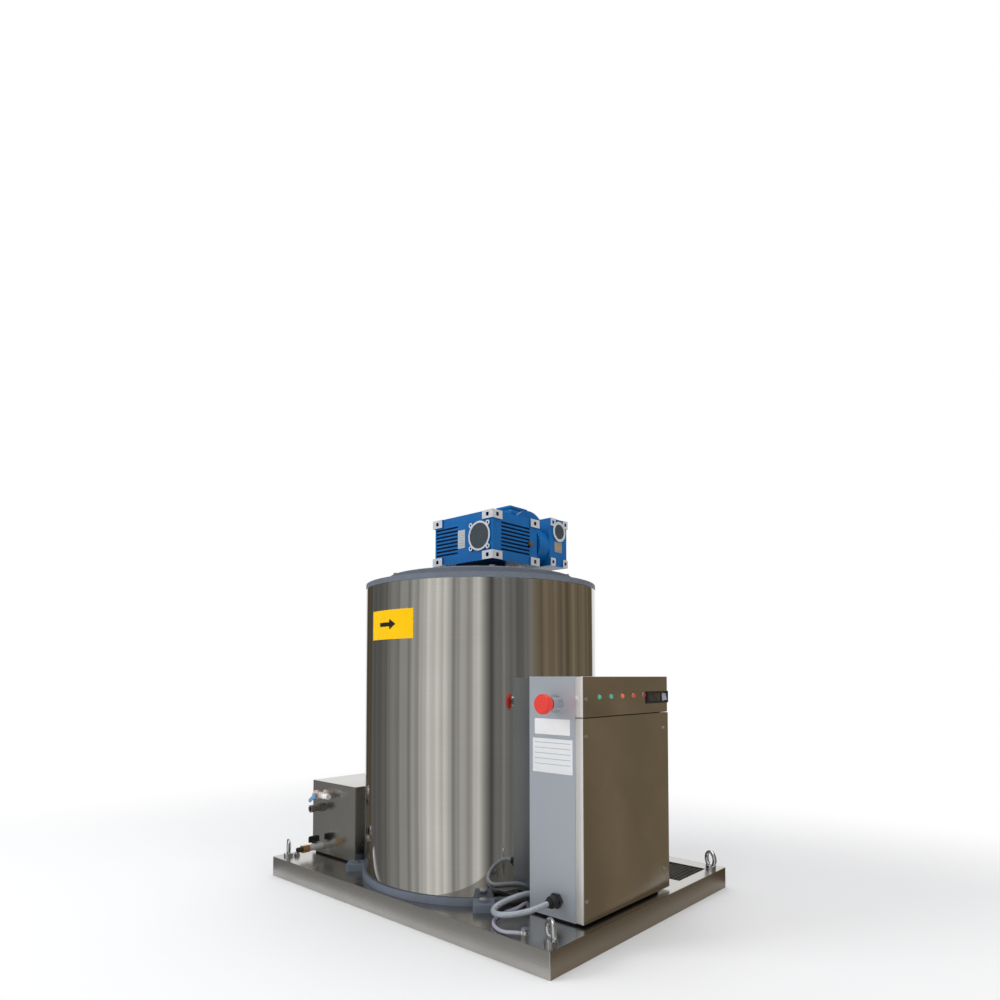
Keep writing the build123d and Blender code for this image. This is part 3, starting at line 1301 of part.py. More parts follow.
# Five indicator lamps
with BuildPart() as indicator_lamps:
    for y in lamp_places:
        disc(facing_right(box_right - 14, y, lamp_z), lamp_radius - 0.2, 14)
        disc(facing_right(box_right, y, lamp_z), lamp_radius + 0.8, 1)
        disc(facing_right(box_right + 1, y, lamp_z), lamp_radius - 0.8, 3)
    fillet(indicator_lamps.edges().group_by(Axis.X)[-1], 2.5)
indicator_lamps.part.label = "indicator_lamps"
export_step(indicator_lamps.part, "parts/indicator_lamps.step")

# Controller with a dark window and a pocket for the rocker
pocket_half = rocker_width / 2 + rocker_pocket_clearance
pocket_half_height = 9.6
rocker_pivot_x = box_right - 2.0
with BuildPart() as controller_module:
    block(box_right, box_right + module_bezel, module_front, module_back,
          module_z - module_half_height, module_z + module_half_height)
    block(box_right - module_depth, box_right, module_front + 3.3, module_back - 3.3,
          module_z - module_half_height + 2.3, module_z + module_half_height - 2.3)
    block(box_right + module_bezel - 1, box_right + module_bezel, module_front + 6, rocker_y - pocket_half - 5,
          module_z - module_half_height + 4, module_z + module_half_height - 4, Mode.SUBTRACT)
    block(rocker_pivot_x - 10, box_right + module_bezel, rocker_y - pocket_half, rocker_y + pocket_half,
          module_z - pocket_half_height, module_z + pocket_half_height, Mode.SUBTRACT)
    rocker_axle = facing_front(rocker_pivot_x, rocker_y + pocket_half + 2, module_z)
    disc(rocker_axle, 1.5 + pivot_clearance, 2 * pocket_half + 4, Mode.SUBTRACT)
controller_module.part.label = "controller_module"
export_step(controller_module.part, "parts/controller_module.step")

# Rocker switch, lower half out at rest
with BuildPart() as rocker_switch:
    with BuildSketch(facing_front(rocker_pivot_x, rocker_y + rocker_width / 2, module_z)):
        with BuildLine():
            Polyline((-4.5, -6.5), (5.0, -7.2), (3.0, 0), (2.0, 7.4), (-4.5, 6.5), close=True)
        make_face()
    extrude(amount=rocker_width)
    disc(facing_front(rocker_pivot_x, rocker_y + rocker_width / 2 + 1.8, module_z), 1.5, rocker_width + 3.6)
rocker_switch.part.label = "rocker_switch"
export_step(rocker_switch.part, "parts/rocker_switch.step")

# Collar and contact block of the emergency stop
collar_length = 24.0
with BuildPart() as stop_collar:
    disc(facing_front(stop_x, box_front, stop_z), 18, 3)
    disc(facing_front(stop_x, box_front - 3, stop_z), 14.5, collar_length - 3)
    disc(facing_front(stop_x, box_front + 6, stop_z), stop_hole_radius - 0.3, 6)
    slab(facing_front(stop_x, box_front + 34, stop_z), 30, 40, 28)
    disc(facing_front(stop_x, box_front + 8, stop_z), stop_stem_radius + running_clearance,
         collar_length + 8, Mode.SUBTRACT)
stop_collar.part.label = "stop_collar"
export_step(stop_collar.part, "parts/stop_collar.step")

# Red mushroom button
stop_head_back = collar_length + stop_travel + 4
with BuildPart() as stop_button:
    disc(facing_front(stop_x, box_front + 2, stop_z), stop_stem_radius, stop_head_back + 2)
    disc(facing_front(stop_x, box_front - stop_head_back, stop_z), stop_head_radius, 16)
    fillet(stop_button.edges().group_by(Axis.Y)[0], 6)
stop_button.part.label = "stop_button"
export_step(stop_button.part, "parts/stop_button.step")

# Cable gland low on the front of the control box
with BuildPart() as cable_gland:
    hexagon(facing_front(gland_x, box_front, gland_z), 26, 8)
    disc(facing_front(gland_x, box_front - 8, gland_z), 12, 14)
    fillet(cable_gland.edges().group_by(Axis.Y)[0], 4)
    disc(facing_front(gland_x, box_front - 22, gland_z), 7.5, 8)
    disc(facing_front(gland_x, box_front + 10, gland_z), gland_hole_radius - 0.3, 10)
    with BuildSketch(facing_front(gland_x, box_front + box_wall + 5, gland_z)):
        RegularPolygon(11, 6, major_radius=False)
    extrude(amount=5)
    disc(facing_front(gland_x, box_front + 10, gland_z), gland_bore - 1, 40, Mode.SUBTRACT)
cable_gland.part.label = "cable_gland"
export_step(cable_gland.part, "parts/cable_gland.step")

# Mounting plate inside the control box, on four spacers
plate_x = box_left + box_wall + 6
with BuildPart() as mounting_plate:
    block(plate_x, plate_x + 2, box_front + 20, box_back - 20, box_bottom + 25, box_top - 25)
    for y in (box_front + 35, box_back - 35):
        for z in (box_bottom + 40, box_top - 40):
            disc(facing_right(box_left + box_wall, y, z), 6, 6)
mounting_plate.part.label = "mounting_plate"
export_step(mounting_plate.part, "parts/mounting_plate.step")

# Three contactors and a terminal row on the mounting plate
with BuildPart() as contactors:
    for n in range(3):
        y = box_front + 50 + 60 * n
        block(plate_x + 2, plate_x + 72, y, y + 45, 300, 380)
        block(plate_x + 22, plate_x + 60, y, y + 45, 290, 390)
    block(plate_x + 2, plate_x + 42, box_front + 40, box_back - 60, 130, 165)
contactors.part.label = "contactors"
export_step(contactors.part, "parts/contactors.step")

# Ribbed metal conduit from the gland, looped on the deck and back behind the box
with BuildPart() as metal_conduit:
    conduit_length = tube_along(conduit_route, conduit_radius, route_radii(conduit_route))
metal_conduit.part.label = "metal_conduit"
export_step(metal_conduit.part, "parts/metal_conduit.step")
report_cord("metal_conduit", conduit_route, conduit_radius, conduit_length, metal_conduit.part.volume)

# Grey hose from the tail on the deck, under the conduit, to its grommet
with BuildPart() as grey_hose:
    grey_length = tube_along(grey_route, grey_hose_radius, route_radii(grey_route))
grey_hose.part.label = "grey_hose"
export_step(grey_hose.part, "parts/grey_hose.step")
report_cord("grey_hose", grey_route, grey_hose_radius, grey_length, grey_hose.part.volume)

# Black corrugated conduit beside the drum, between two grommets
with BuildPart() as black_conduit:
    black_length = tube_along(black_route, black_conduit_radius, route_radii(black_route))
black_conduit.part.label = "black_conduit"
export_step(black_conduit.part, "parts/black_conduit.step")
report_cord("black_conduit", black_route, black_conduit_radius, black_length, black_conduit.part.volume)
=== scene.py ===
"""Dresses the flake ice machine: finishes for its solids, and surfaces worked out on grids.

Everything is in metres, in the machine's own frame: the origin is under the centre of
the tray, +X is the long side towards the control box, +Z is up.
"""

from __future__ import annotations

import json
import logging
import math
from dataclasses import dataclass
from enum import Enum

import bmesh
import bpy
import numpy as np
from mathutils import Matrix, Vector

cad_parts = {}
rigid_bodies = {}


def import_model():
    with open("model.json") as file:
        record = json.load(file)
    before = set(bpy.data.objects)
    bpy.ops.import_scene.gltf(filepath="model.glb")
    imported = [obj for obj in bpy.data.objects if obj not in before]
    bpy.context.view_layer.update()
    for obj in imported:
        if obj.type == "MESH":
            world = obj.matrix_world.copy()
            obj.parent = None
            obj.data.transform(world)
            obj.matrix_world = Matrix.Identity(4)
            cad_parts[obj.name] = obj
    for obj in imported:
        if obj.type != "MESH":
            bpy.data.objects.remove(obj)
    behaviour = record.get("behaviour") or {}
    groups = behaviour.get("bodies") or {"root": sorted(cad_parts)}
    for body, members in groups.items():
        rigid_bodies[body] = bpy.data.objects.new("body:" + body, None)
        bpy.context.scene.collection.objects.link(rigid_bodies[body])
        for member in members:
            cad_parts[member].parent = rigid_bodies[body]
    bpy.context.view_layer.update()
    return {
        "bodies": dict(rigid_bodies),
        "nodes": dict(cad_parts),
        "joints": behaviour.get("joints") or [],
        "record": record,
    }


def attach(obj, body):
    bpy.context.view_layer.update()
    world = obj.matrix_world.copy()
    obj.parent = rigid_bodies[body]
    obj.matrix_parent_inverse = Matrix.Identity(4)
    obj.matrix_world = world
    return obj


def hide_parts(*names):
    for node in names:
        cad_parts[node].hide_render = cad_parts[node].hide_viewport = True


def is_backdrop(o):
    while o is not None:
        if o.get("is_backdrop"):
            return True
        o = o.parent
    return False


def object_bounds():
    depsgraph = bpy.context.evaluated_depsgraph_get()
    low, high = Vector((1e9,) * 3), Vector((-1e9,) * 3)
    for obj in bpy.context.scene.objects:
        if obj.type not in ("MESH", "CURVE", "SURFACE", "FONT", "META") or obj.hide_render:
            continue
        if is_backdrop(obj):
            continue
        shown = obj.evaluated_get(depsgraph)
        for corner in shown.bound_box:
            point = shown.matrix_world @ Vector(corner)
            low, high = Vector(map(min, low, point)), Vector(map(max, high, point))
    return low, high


log = logging.getLogger("ice_machine")
Vec3 = tuple[float, float, float]
DRUM_CENTRE = (0.0125, -0.056)  # where the drum's axis crosses the deck, in X and Y
MERGE_DISTANCE = 1e-6  # metres within which two points of a grid are one
LEAST_CORNER = 0.0002  # corner radius below which a panel's loops don't go, in metres


class Axis(Enum):
    """Which way a turned piece's own axis points, as (axis, first side, second side)."""

    UP = ((0, 0, 1), (1, 0, 0), (0, 1, 0))
    RIGHT = ((1, 0, 0), (0, 1, 0), (0, 0, 1))
    FRONT = ((0, -1, 0), (1, 0, 0), (0, 0, 1))


class Grain(Enum):
    """Direction in which steel was brushed, as the scale of its streaks along X, Y, Z."""

    AROUND = (3.0, 3.0, 900.0)
    UPRIGHT = (900.0, 900.0, 4.0)
    LONG = (3.0, 500.0, 500.0)
    NONE = (160.0, 160.0, 160.0)


# ---- mesh work


def grid_object(name: str, points: np.ndarray, closed: bool = True,
                caps: tuple[bool, bool] = (True, True), smooth: bool = True) -> bpy.types.Object:
    """Makes a mesh object of a grid of points: one row per ring, one column per place on the ring.

    Args:
        name: the piece's name.
        points: array of rows x columns x 3, in metres.
        closed: joins the last column to the first.
        caps: closes the first and the last ring with one face each.
        smooth: smooth shading.

    Returns:
        The new object, linked to the scene, at the origin.
    """
    rows, columns = points.shape[:2]
    index = np.arange(rows * columns).reshape(rows, columns)
    right = np.roll(index, -1, axis=1)
    last = columns if closed else columns - 1
    quads = (index[:-1, :last], right[:-1, :last], right[1:, :last], index[1:, :last])
    faces = np.stack(quads, axis=-1).reshape(-1, 4).tolist()
    if closed and caps[0]:
        faces.append(index[0, ::-1].tolist())
    if closed and caps[1]:
        faces.append(index[-1].tolist())
    mesh = bpy.data.meshes.new(name)
    mesh.from_pydata(points.reshape(-1, 3).tolist(), [], faces)
    work = bmesh.new()
    work.from_mesh(mesh)
    bmesh.ops.remove_doubles(work, verts=work.verts, dist=MERGE_DISTANCE)
    bmesh.ops.recalc_face_normals(work, faces=work.faces)
    work.to_mesh(mesh)
    work.free()
    mesh.polygons.foreach_set("use_smooth", np.full(len(mesh.polygons), smooth))
    mesh.update()
    obj = bpy.data.objects.new(name, mesh)
    bpy.context.scene.collection.objects.link(obj)
    return obj


def rounded_profile(corners: list[tuple[float, float, float]], steps: int = 5) -> np.ndarray:
    """Rounds the corners of an open profile: each corner becomes an arc-like quadratic curve.

    The curve at a corner is (1-t)^2 a + 2 t (1-t) c + t^2 b, where a and b lie at the corner's
    rounding distance along its two sides and t goes from 0 to 1.

    Args:
        corners: (radius, height, rounding) of each corner.
        steps: points in each rounded corner.

    Returns:
        Array of points x 2.
    """
    places = np.array([c[:2] for c in corners])
    sizes = np.array([c[2] for c in corners])
    sides = np.diff(places, axis=0)
    lengths = np.linalg.norm(sides, axis=1, keepdims=True)
    sides = sides / lengths
    t = np.linspace(0, 1, steps)[:, None]
    before = places[1:-1] - sides[:-1] * sizes[1:-1, None]
    after = places[1:-1] + sides[1:] * sizes[1:-1, None]
    bends = ((1 - t)[None] ** 2 * before[:, None] + (2 * t * (1 - t))[None] * places[1:-1, None]
             + (t**2)[None] * after[:, None])
    return np.concatenate((places[:1], bends.reshape(-1, 2), places[-1:]))


def turned(name: str, profile: np.ndarray, origin: Vec3, axis: Axis = Axis.UP, segments: int = 64,
           caps: tuple[bool, bool] = (True, True)) -> bpy.types.Object:
    """Turns a profile: point (r, h) goes to origin + h axis + r (cos a first + sin a second).

    Args:
        name: name of the piece.
        profile: points x 2, radius and height.
        origin: foot of the axis.
        axis: direction of the axis.
        segments: places round the axis.
        caps: closes the two ends.
    """
    up, side, other = (np.array(v, float) for v in axis.value)
    angle = np.linspace(0, 2 * math.pi, segments, endpoint=False)
    ring = np.cos(angle)[:, None] * side + np.sin(angle)[:, None] * other
    points = np.array(origin) + profile[:, 1, None, None] * up + profile[:, 0, None, None] * ring
    return grid_object(name, points, caps=caps)


def rounded_loop(half_width: np.ndarray, half_height: np.ndarray, radius: np.ndarray,
                 per_corner: int = 7) -> np.ndarray:
    """Rectangles whose corners are quarter circles: corner centre + radius (cos a, sin a).

    Args:
        half_width: half the width of each loop.
        half_height: half the height of each loop.
        radius: corner radius of each loop.
        per_corner: points in each corner.

    Returns:
        Array of loops x points x 2.
    """
    turn = np.linspace(0, math.pi / 2, per_corner)
    angle = np.concatenate([turn + k * math.pi / 2 for k in range(4)])
    sign_x = np.repeat([1, -1, -1, 1], per_corner)
    sign_y = np.repeat([1, 1, -1, -1], per_corner)
    x = sign_x * (half_width - radius)[:, None] + radius[:, None] * np.cos(angle)
    y = sign_y * (half_height - radius)[:, None] + radius[:, None] * np.sin(angle)
    return np.stack((x, y), axis=-1)


def panel(name: str, centre: Vec3, axis: Axis, width: float, height: float,
          stations: list[tuple[float, float]], corner: float,
          caps: tuple[bool, bool] = (True, True)) -> bpy.types.Object:
    """A pan, plate or bezel: a profile carried round a rectangle with rounded corners.

    Each station (inset, depth) gives one loop, drawn in by inset and moved by depth along the axis.

    Args:
        name: name of the piece.
        centre: middle of the rectangle, at depth 0.
        axis: the way the face looks.
        width: size along the axis' first side.
        height: size along its second side.
        stations: (inset, depth) of each loop, in order.
        corner: corner radius of the outer loop.
        caps: closes the first and the last loop.
    """
    up, side, other = (np.array(v, float) for v in axis.value)
    inset, depth = np.array(stations, float).T
    radius = np.maximum(corner - inset, LEAST_CORNER)
    loops = rounded_loop(width / 2 - inset, height / 2 - inset, radius)
    points = (np.array(centre) + depth[:, None, None] * up
              + loops[..., :1] * side + loops[..., 1:] * other)
    return grid_object(name, points, caps=caps)


def edge_stations(depth: float, radius: float, wall: float = 0.0,
                  steps: int = 5) -> list[tuple[float, float]]:
    """Stations of a pan: inner rim, outer rim, then a quarter circle onto the face at depth 0.

    Args:
        depth: how deep the pan's side is.
        radius: radius of the folded edge.
        wall: sheet thickness, for the rim.
        steps: loops in the folded edge.

    Returns:
        (inset, depth) pairs for panel().
    """
    turn = np.linspace(0, math.pi / 2, steps)
    bend = np.stack((radius - radius * np.cos(turn), -radius + radius * np.sin(turn)), axis=-1)
    start = [(wall, -depth), (0.0, -depth)] if wall else [(0.0, -depth)]
    return start + [tuple(p) for p in bend.tolist()]


# ---- finishes


class Nodes:
    """A node tree, with short ways to add and join nodes."""

    def __init__(self, tree: bpy.types.NodeTree) -> None:
        """Takes the tree."""
        self.tree = tree

    def add(self, kind: str, inputs: dict[str | int, object] | None = None,
            **settings: object) -> bpy.types.Node:
        """Adds a node, sets or joins its named or numbered inputs, and returns it."""
        node = self.tree.nodes.new(kind)
        for key, value in settings.items():
            setattr(node, key, value)
        for key, value in (inputs or {}).items():
            if isinstance(value, bpy.types.NodeSocket):
                self.tree.links.new(value, node.inputs[key])
            else:
                node.inputs[key].default_value = value
        return node

    def math(self, operation: str, *values: object) -> bpy.types.NodeSocket:
        """Adds a Math node and returns its output."""
        return self.add("ShaderNodeMath", dict(enumerate(values)), operation=operation).outputs[0]

    def vector(self, operation: str, *values: object) -> bpy.types.NodeSocket:
        """Adds a Vector Math node and returns its vector."""
        inputs = dict(enumerate(values))
        return self.add("ShaderNodeVectorMath", inputs, operation=operation).outputs[0]

    def mix(self, factor: object, first: object, second: object) -> bpy.types.NodeSocket:
        """Mixes two numbers and returns the result."""
        return self.add("ShaderNodeMix", {0: factor, 2: first, 3: second}).outputs[0]

    def blend(self, factor: object, first: object, second: object) -> bpy.types.NodeSocket:
        """Mixes two colours and returns the result."""
        node = self.add("ShaderNodeMix", {"Factor": factor}, data_type="RGBA")
        for key, value in ((6, first), (7, second)):
            if isinstance(value, bpy.types.NodeSocket):
                self.tree.links.new(value, node.inputs[key])
            else:
                node.inputs[key].default_value = (*value, 1.0)
        return node.outputs[2]

    def between(self, value: object, low: float, high: float) -> bpy.types.NodeSocket:
        """Maps a value from 0..1 to low..high."""
        ends = {"Value": value, "To Min": low, "To Max": high}
        return self.add("ShaderNodeMapRange", ends).outputs[0]


class Graph(Nodes):
    """A material with one Principled shader, and its node tree."""

    def __init__(self, name: str) -> None:
        """Starts the material."""
        self.material = bpy.data.materials.new(name)
        self.material.use_nodes = True
        super().__init__(self.material.node_tree)
        self.shader = self.tree.nodes["Principled BSDF"]
        self.place = self.add("ShaderNodeTexCoord").outputs["Object"]

    def noise(self, scale: Vec3 | float, detail: float = 3.0,
              roughness: float = 0.55) -> bpy.types.NodeSocket:
        """Noise at a scale that may differ along X, Y and Z; returns its value from 0 to 1."""
        stretch = scale if isinstance(scale, tuple) else (scale, scale, scale)
        mapped = self.add("ShaderNodeMapping", {"Vector": self.place, "Scale": stretch})
        node = self.add("ShaderNodeTexNoise", {"Vector": mapped.outputs[0], "Scale": 1.0,
                                               "Detail": detail, "Roughness": roughness})
        return node.outputs["Fac"]

    def inside(self, low: Vec3, high: Vec3) -> bpy.types.NodeSocket:
        """1 inside a box, 0 outside: each of |p - centre| is less than half the box's size."""
        centre = tuple((a + b) / 2 for a, b in zip(low, high))
        half = tuple((b - a) / 2 for a, b in zip(low, high))
        moved = self.vector("SUBTRACT", self.place, centre)
        parts = self.add("ShaderNodeSeparateXYZ", {0: self.vector("ABSOLUTE", moved)}).outputs
        tests = [self.math("LESS_THAN", parts[k], half[k]) for k in range(3)]
        return self.math("MULTIPLY", self.math("MULTIPLY", tests[0], tests[1]), tests[2])

    def bump(self, height: object, strength: float, distance: float) -> None:
        """Bumps the surface by a height from 0 to 1 times a distance in metres."""
        inputs = {"Height": height, "Strength": strength, "Distance": distance}
        self.set("Normal", self.add("ShaderNodeBump", inputs).outputs[0])

    def set(self, socket: str, value: object) -> None:
        """Sets or joins one of the shader's sockets."""
        if isinstance(value, bpy.types.NodeSocket):
            self.tree.links.new(value, self.shader.inputs[socket])
        elif isinstance(value, tuple):
            self.shader.inputs[socket].default_value = (*value, 1.0)
        else:
            self.shader.inputs[socket].default_value = value


@dataclass(frozen=True)
class Zone:
    """A box in the machine's frame where a finish has another colour."""

    low: Vec3
    high: Vec3
    colour: Vec3
    metallic: float = 0.0
    roughness: float = 0.4


def apply_zones(graph: Graph, zones: tuple[Zone, ...], colour: object, metallic: object,
                roughness: object) -> None:
    """Paints boxes of other colours over a base finish, the last on top.

    The base colour, metalness and roughness are values or sockets.
    """
    for zone in zones:
        mask = graph.inside(zone.low, zone.high)
        colour = graph.blend(mask, colour, zone.colour)
        metallic = graph.mix(mask, metallic, zone.metallic)
        roughness = graph.mix(mask, roughness, zone.roughness)
    graph.set("Base Color", colour)
    graph.set("Metallic", metallic)
    graph.set("Roughness", roughness)


STAIN = (0.52, 0.47, 0.40)  # what a smudge leaves of steel's red, green and blue
GRIME = 0.62  # what the dirtiest place leaves of a paint's colour
MOTTLE = 0.86  # the same for plastic
PAPER_SHADE = 0.93  # the same for a printed plate
STEEL_BUMP, PAINT_BUMP, PLASTIC_BUMP, PAPER_BUMP = 0.0004, 0.0006, 0.0003, 0.0002  # metres
LINE_SHARE = 0.1  # width of a ruled line against its pitch


@dataclass(frozen=True)
class Steel:
    """Stainless or plain steel with the streaks of its brushing and soft smudges."""

    name: str
    colour: Vec3
    roughness: float
    grain: Grain
    streak: float = 0.25
    bump: float = 0.12
    cloud: float = 0.12
    metallic: float = 1.0
    zones: tuple[Zone, ...] = ()

    def material(self) -> bpy.types.Material:
        """Builds the material."""
        g = Graph(self.name)
        streaks = g.noise(self.grain.value, 4.0)
        smudges = g.noise(7.0, 4.0, 0.6)
        dark = tuple(c * (1 - self.streak) for c in self.colour)
        light = tuple(min(1.0, c * (1 + self.streak * 0.4)) for c in self.colour)
        stain = tuple(c * k for c, k in zip(self.colour, STAIN))
        colour = g.blend(g.between(streaks, 0.1, 0.9), dark, light)
        smudged = g.math("MULTIPLY", g.between(smudges, -0.6, 1.6), self.cloud)
        colour = g.blend(smudged, colour, stain)
        rough = g.math("ADD", g.between(streaks, self.roughness * 0.75, self.roughness * 1.2),
                       g.between(smudges, -0.2 * self.roughness, 0.25 * self.roughness))
        g.bump(streaks, self.bump, STEEL_BUMP)
        apply_zones(g, self.zones, colour, self.metallic, rough)
        return g.material


@dataclass(frozen=True)
class Paint:
    """Sprayed paint on a casting: slight orange peel, grime, and bare machined faces."""

    name: str
    colour: Vec3
    roughness: float = 0.38
    peel: float = 0.25
    scale: float = 420.0
    zones: tuple[Zone, ...] = ()

    def material(self) -> bpy.types.Material:
        """Builds the material."""
        g = Graph(self.name)
        peel = g.noise(self.scale, 3.0)
        grime = g.noise(28.0, 5.0, 0.65)
        dark = tuple(c * GRIME for c in self.colour)
        colour = g.blend(g.between(grime, -0.25, 0.75), self.colour, dark)
        rough = g.between(grime, self.roughness * 0.8, self.roughness * 1.25)
        g.bump(peel, self.peel, PAINT_BUMP)
        g.set("Specular IOR Level", 0.35)
        apply_zones(g, self.zones, colour, 0.0, rough)
        return g.material


@dataclass(frozen=True)
class Moulded:
    """Moulded plastic, rubber or foam with a fine grain."""

    name: str
    colour: Vec3
    roughness: float = 0.45
    grain: float = 900.0
    bump: float = 0.15
    specular: float = 0.5
    coat: float = 0.0
    glow: float = 0.0
    zones: tuple[Zone, ...] = ()

    def material(self) -> bpy.types.Material:
        """Builds the material."""
        g = Graph(self.name)
        grain = g.noise(self.grain, 2.0)
        shade = g.noise(35.0, 4.0)
        dark = tuple(c * MOTTLE for c in self.colour)
        colour = g.blend(shade, self.colour, dark)
        g.bump(grain, self.bump, PLASTIC_BUMP)
        g.set("Specular IOR Level", self.specular)
        g.set("Coat Weight", self.coat)
        if self.glow:
            g.set("Emission Color", self.colour)
            g.set("Emission Strength", self.glow)
        rough = g.between(shade, self.roughness * 0.85, self.roughness * 1.15)
        apply_zones(g, self.zones, colour, 0.0, rough)
        return g.material


@dataclass(frozen=True)
class Printed:
    """A plate or sticker with faint ruled lines, and no words."""

    name: str
    colour: Vec3
    ink: Vec3
    pitch: float
    low: Vec3
    high: Vec3

    def material(self) -> bpy.types.Material:
        """Builds the material: a line wherever z / pitch has a small fraction, inside a box."""
        g = Graph(self.name)
        height = g.add("ShaderNodeSeparateXYZ", {0: g.place}).outputs[2]
        part = g.math("FRACT", g.math("DIVIDE", height, self.pitch))
        line = g.math("LESS_THAN", part, LINE_SHARE)
        mask = g.math("MULTIPLY", line, g.inside(self.low, self.high))
        shade = tuple(c * PAPER_SHADE for c in self.colour)
        paper = g.blend(g.noise(60.0, 3.0), self.colour, shade)
        g.set("Base Color", g.blend(mask, paper, self.ink))
        g.set("Roughness", g.between(g.noise(120.0), 0.35, 0.5))
        g.bump(g.noise(500.0), 0.05, PAPER_BUMP)
        return g.material


# ---- the machine's own finishes

SILVER = (0.72, 0.74, 0.77)
BLUE = (0.004, 0.135, 0.41)
# painted shade colour for the cooling grooves of the large gearbox
GROOVE_SHADE = (0.001, 0.012, 0.05)
PAD_DEPTH = 0.0004  # how far a bare face's zone reaches to each side of its plane, in metres
HOUSING = (-0.0735, 0.1315, -0.142, 0.03, 0.792, 0.907)  # pad planes: x0, x1, y0, y1, z0, z1


def slab(low: Vec3, high: Vec3) -> Zone:
    """A zone of bare machined metal."""
    return Zone(low, high, SILVER, 0.35, 0.35)


def pad_zones() -> tuple[Zone, ...]:
    """Bare machined pads on the four sides of the large gearbox, and painted shade on its grooved
    body.

    The pads stand on the planes x0, x1, y0 and y1, and the cooling grooves lie behind them.
    """
    x0, x1, y0, y1, z0, z1 = HOUSING
    x_low, x_high, y_low, y_high = x0 - PAD_DEPTH, x1 + PAD_DEPTH, y0 - PAD_DEPTH, y1 + PAD_DEPTH
    side, foot = 0.005, 0.001
    return (
        # painted shade: the body inside the pads is painted dark navy for the shade in its cooling
        # grooves
        Zone((x0 + side, y0 + side, z0 + foot), (x1 - side, y1 - side, z1 - side), GROOVE_SHADE, 0.0, 0.55),
        slab((-1.0, y_low, z0 - PAD_DEPTH), (1.0, y0 + PAD_DEPTH, z1 + PAD_DEPTH)),
        slab((-1.0, y1 - PAD_DEPTH, z0 - PAD_DEPTH), (1.0, y_high, z1 + PAD_DEPTH)),
        slab((x_low, y_low, z0), (x0 + PAD_DEPTH, y_high, z1)),
        slab((x1 - PAD_DEPTH, y_low, z0), (x_high, y_high, z1)),
    )


def small_pad_zones() -> tuple[Zone, ...]:
    """Bare machined faces at the two ends of the small gearbox, along X."""
    return tuple(slab((x - PAD_DEPTH, 0.06, 0.79), (x + PAD_DEPTH, 0.15, 0.93))
                 for x in (0.1375, 0.0375))


# The tank's fittings are one piece: each box covers one of them.
FITTING_ZONES = (
    # inlet valve, its left and right caps, overflow, drain stub, drain end
    Zone((-0.40, -0.30, 0.193), (-0.31, -0.2, 0.23), (0.68, 0.58, 0.53), 0.2, 0.35),
    Zone((-0.39, -0.292, 0.195), (-0.3651, -0.26, 0.225), (0.62, 0.46, 0.40), 0.0, 0.35),
    Zone((-0.3452, -0.292, 0.195), (-0.31, -0.26, 0.225), (0.8, 0.8, 0.78), 0.0, 0.4),
    Zone((-0.41, -0.30, 0.15), (-0.36, -0.2, 0.19), (0.26, 0.25, 0.23), 0.8, 0.35),
    Zone((-0.40, -0.2921, 0.05), (-0.37, -0.2, 0.0951), (0.72, 0.72, 0.70), 0.3, 0.3),
    Zone((-0.40, -0.335, 0.05), (-0.37, -0.3121, 0.095), (0.03, 0.02, 0.015), 0.0, 0.45),
)

# the deck, and the tray's face below the control box, painted dark brown as a painted reflection of
# the floor and room that it faces
TRAY_ZONES = (
    Zone((-0.457, -0.347, 0.0465), (0.457, 0.347, 0.05), (0.52, 0.505, 0.475), 1.0, 0.25),
    # painted reflection: dark brown over the tray's whole face towards +X
    Zone((0.4585, -0.349, -0.01), (0.47, 0.349, 0.05), (0.23, 0.19, 0.14), 1.0, 0.3),
)
STEEL_BRIGHT = Steel("brushed_stainless", (0.56, 0.555, 0.54), 0.2, Grain.AROUND, 0.15)
STEEL_DRUM = Steel("drum_stainless", (0.58, 0.57, 0.545), 0.06, Grain.AROUND, 0.1, 0.02)
STEEL_TANK = Steel("tank_stainless", (0.54, 0.53, 0.51), 0.2, Grain.UPRIGHT, 0.15, 0.06)
STEEL_TRAY = Steel("tray_stainless", (0.52, 0.51, 0.49), 0.3, Grain.LONG, 0.2, cloud=0.25,
                   zones=TRAY_ZONES)
VENT_DARK = Paint("vent_dark", (0.03, 0.026, 0.02), 0.7, 0.1)
# painted highlight: the covers' front side walls, between the seam and the face, are painted near
# white for the bright strip at the box's near corner
SIDE_WALL_HIGHLIGHT = Zone((0.4215, -0.2225, 0.05), (0.4385, -0.2205, 0.52), (0.86, 0.85, 0.82), 0.5, 0.3)
# the warm brown tint of this steel is a painted reflection of the brown room that the door faces
STEEL_DOOR = Steel("door_stainless", (0.58, 0.54, 0.48), 0.2, Grain.UPRIGHT, 0.1, 0.05, 0.35,
                   zones=(SIDE_WALL_HIGHLIGHT,))
STEEL_CASE = Steel("casing_stainless", (0.64, 0.69, 0.77), 0.42, Grain.UPRIGHT, 0.06, 0.04,
                   0.0, 0.75)
STEEL_PLAIN = Steel("plain_steel", (0.45, 0.45, 0.46), 0.38, Grain.NONE, 0.2)
CHROME = Steel("bright_plated", (0.66, 0.69, 0.73), 0.16, Grain.NONE, 0.1, 0.03)
CAP_GREY = Paint("cap_grey", (0.055, 0.072, 0.082), 0.4, 0.1)
BRONZE = Steel("worm_bronze", (0.62, 0.42, 0.18), 0.3, Grain.NONE, 0.12)
BRASS = Steel("fitting_brass", (0.66, 0.40, 0.16), 0.28, Grain.NONE, 0.12,
              zones=FITTING_ZONES)
COPPER = Steel("pipe_copper", (0.72, 0.36, 0.2), 0.28, Grain.NONE, 0.15)
RING_GREY = Paint("ring_grey", (0.15, 0.175, 0.215), 0.45, 0.2)
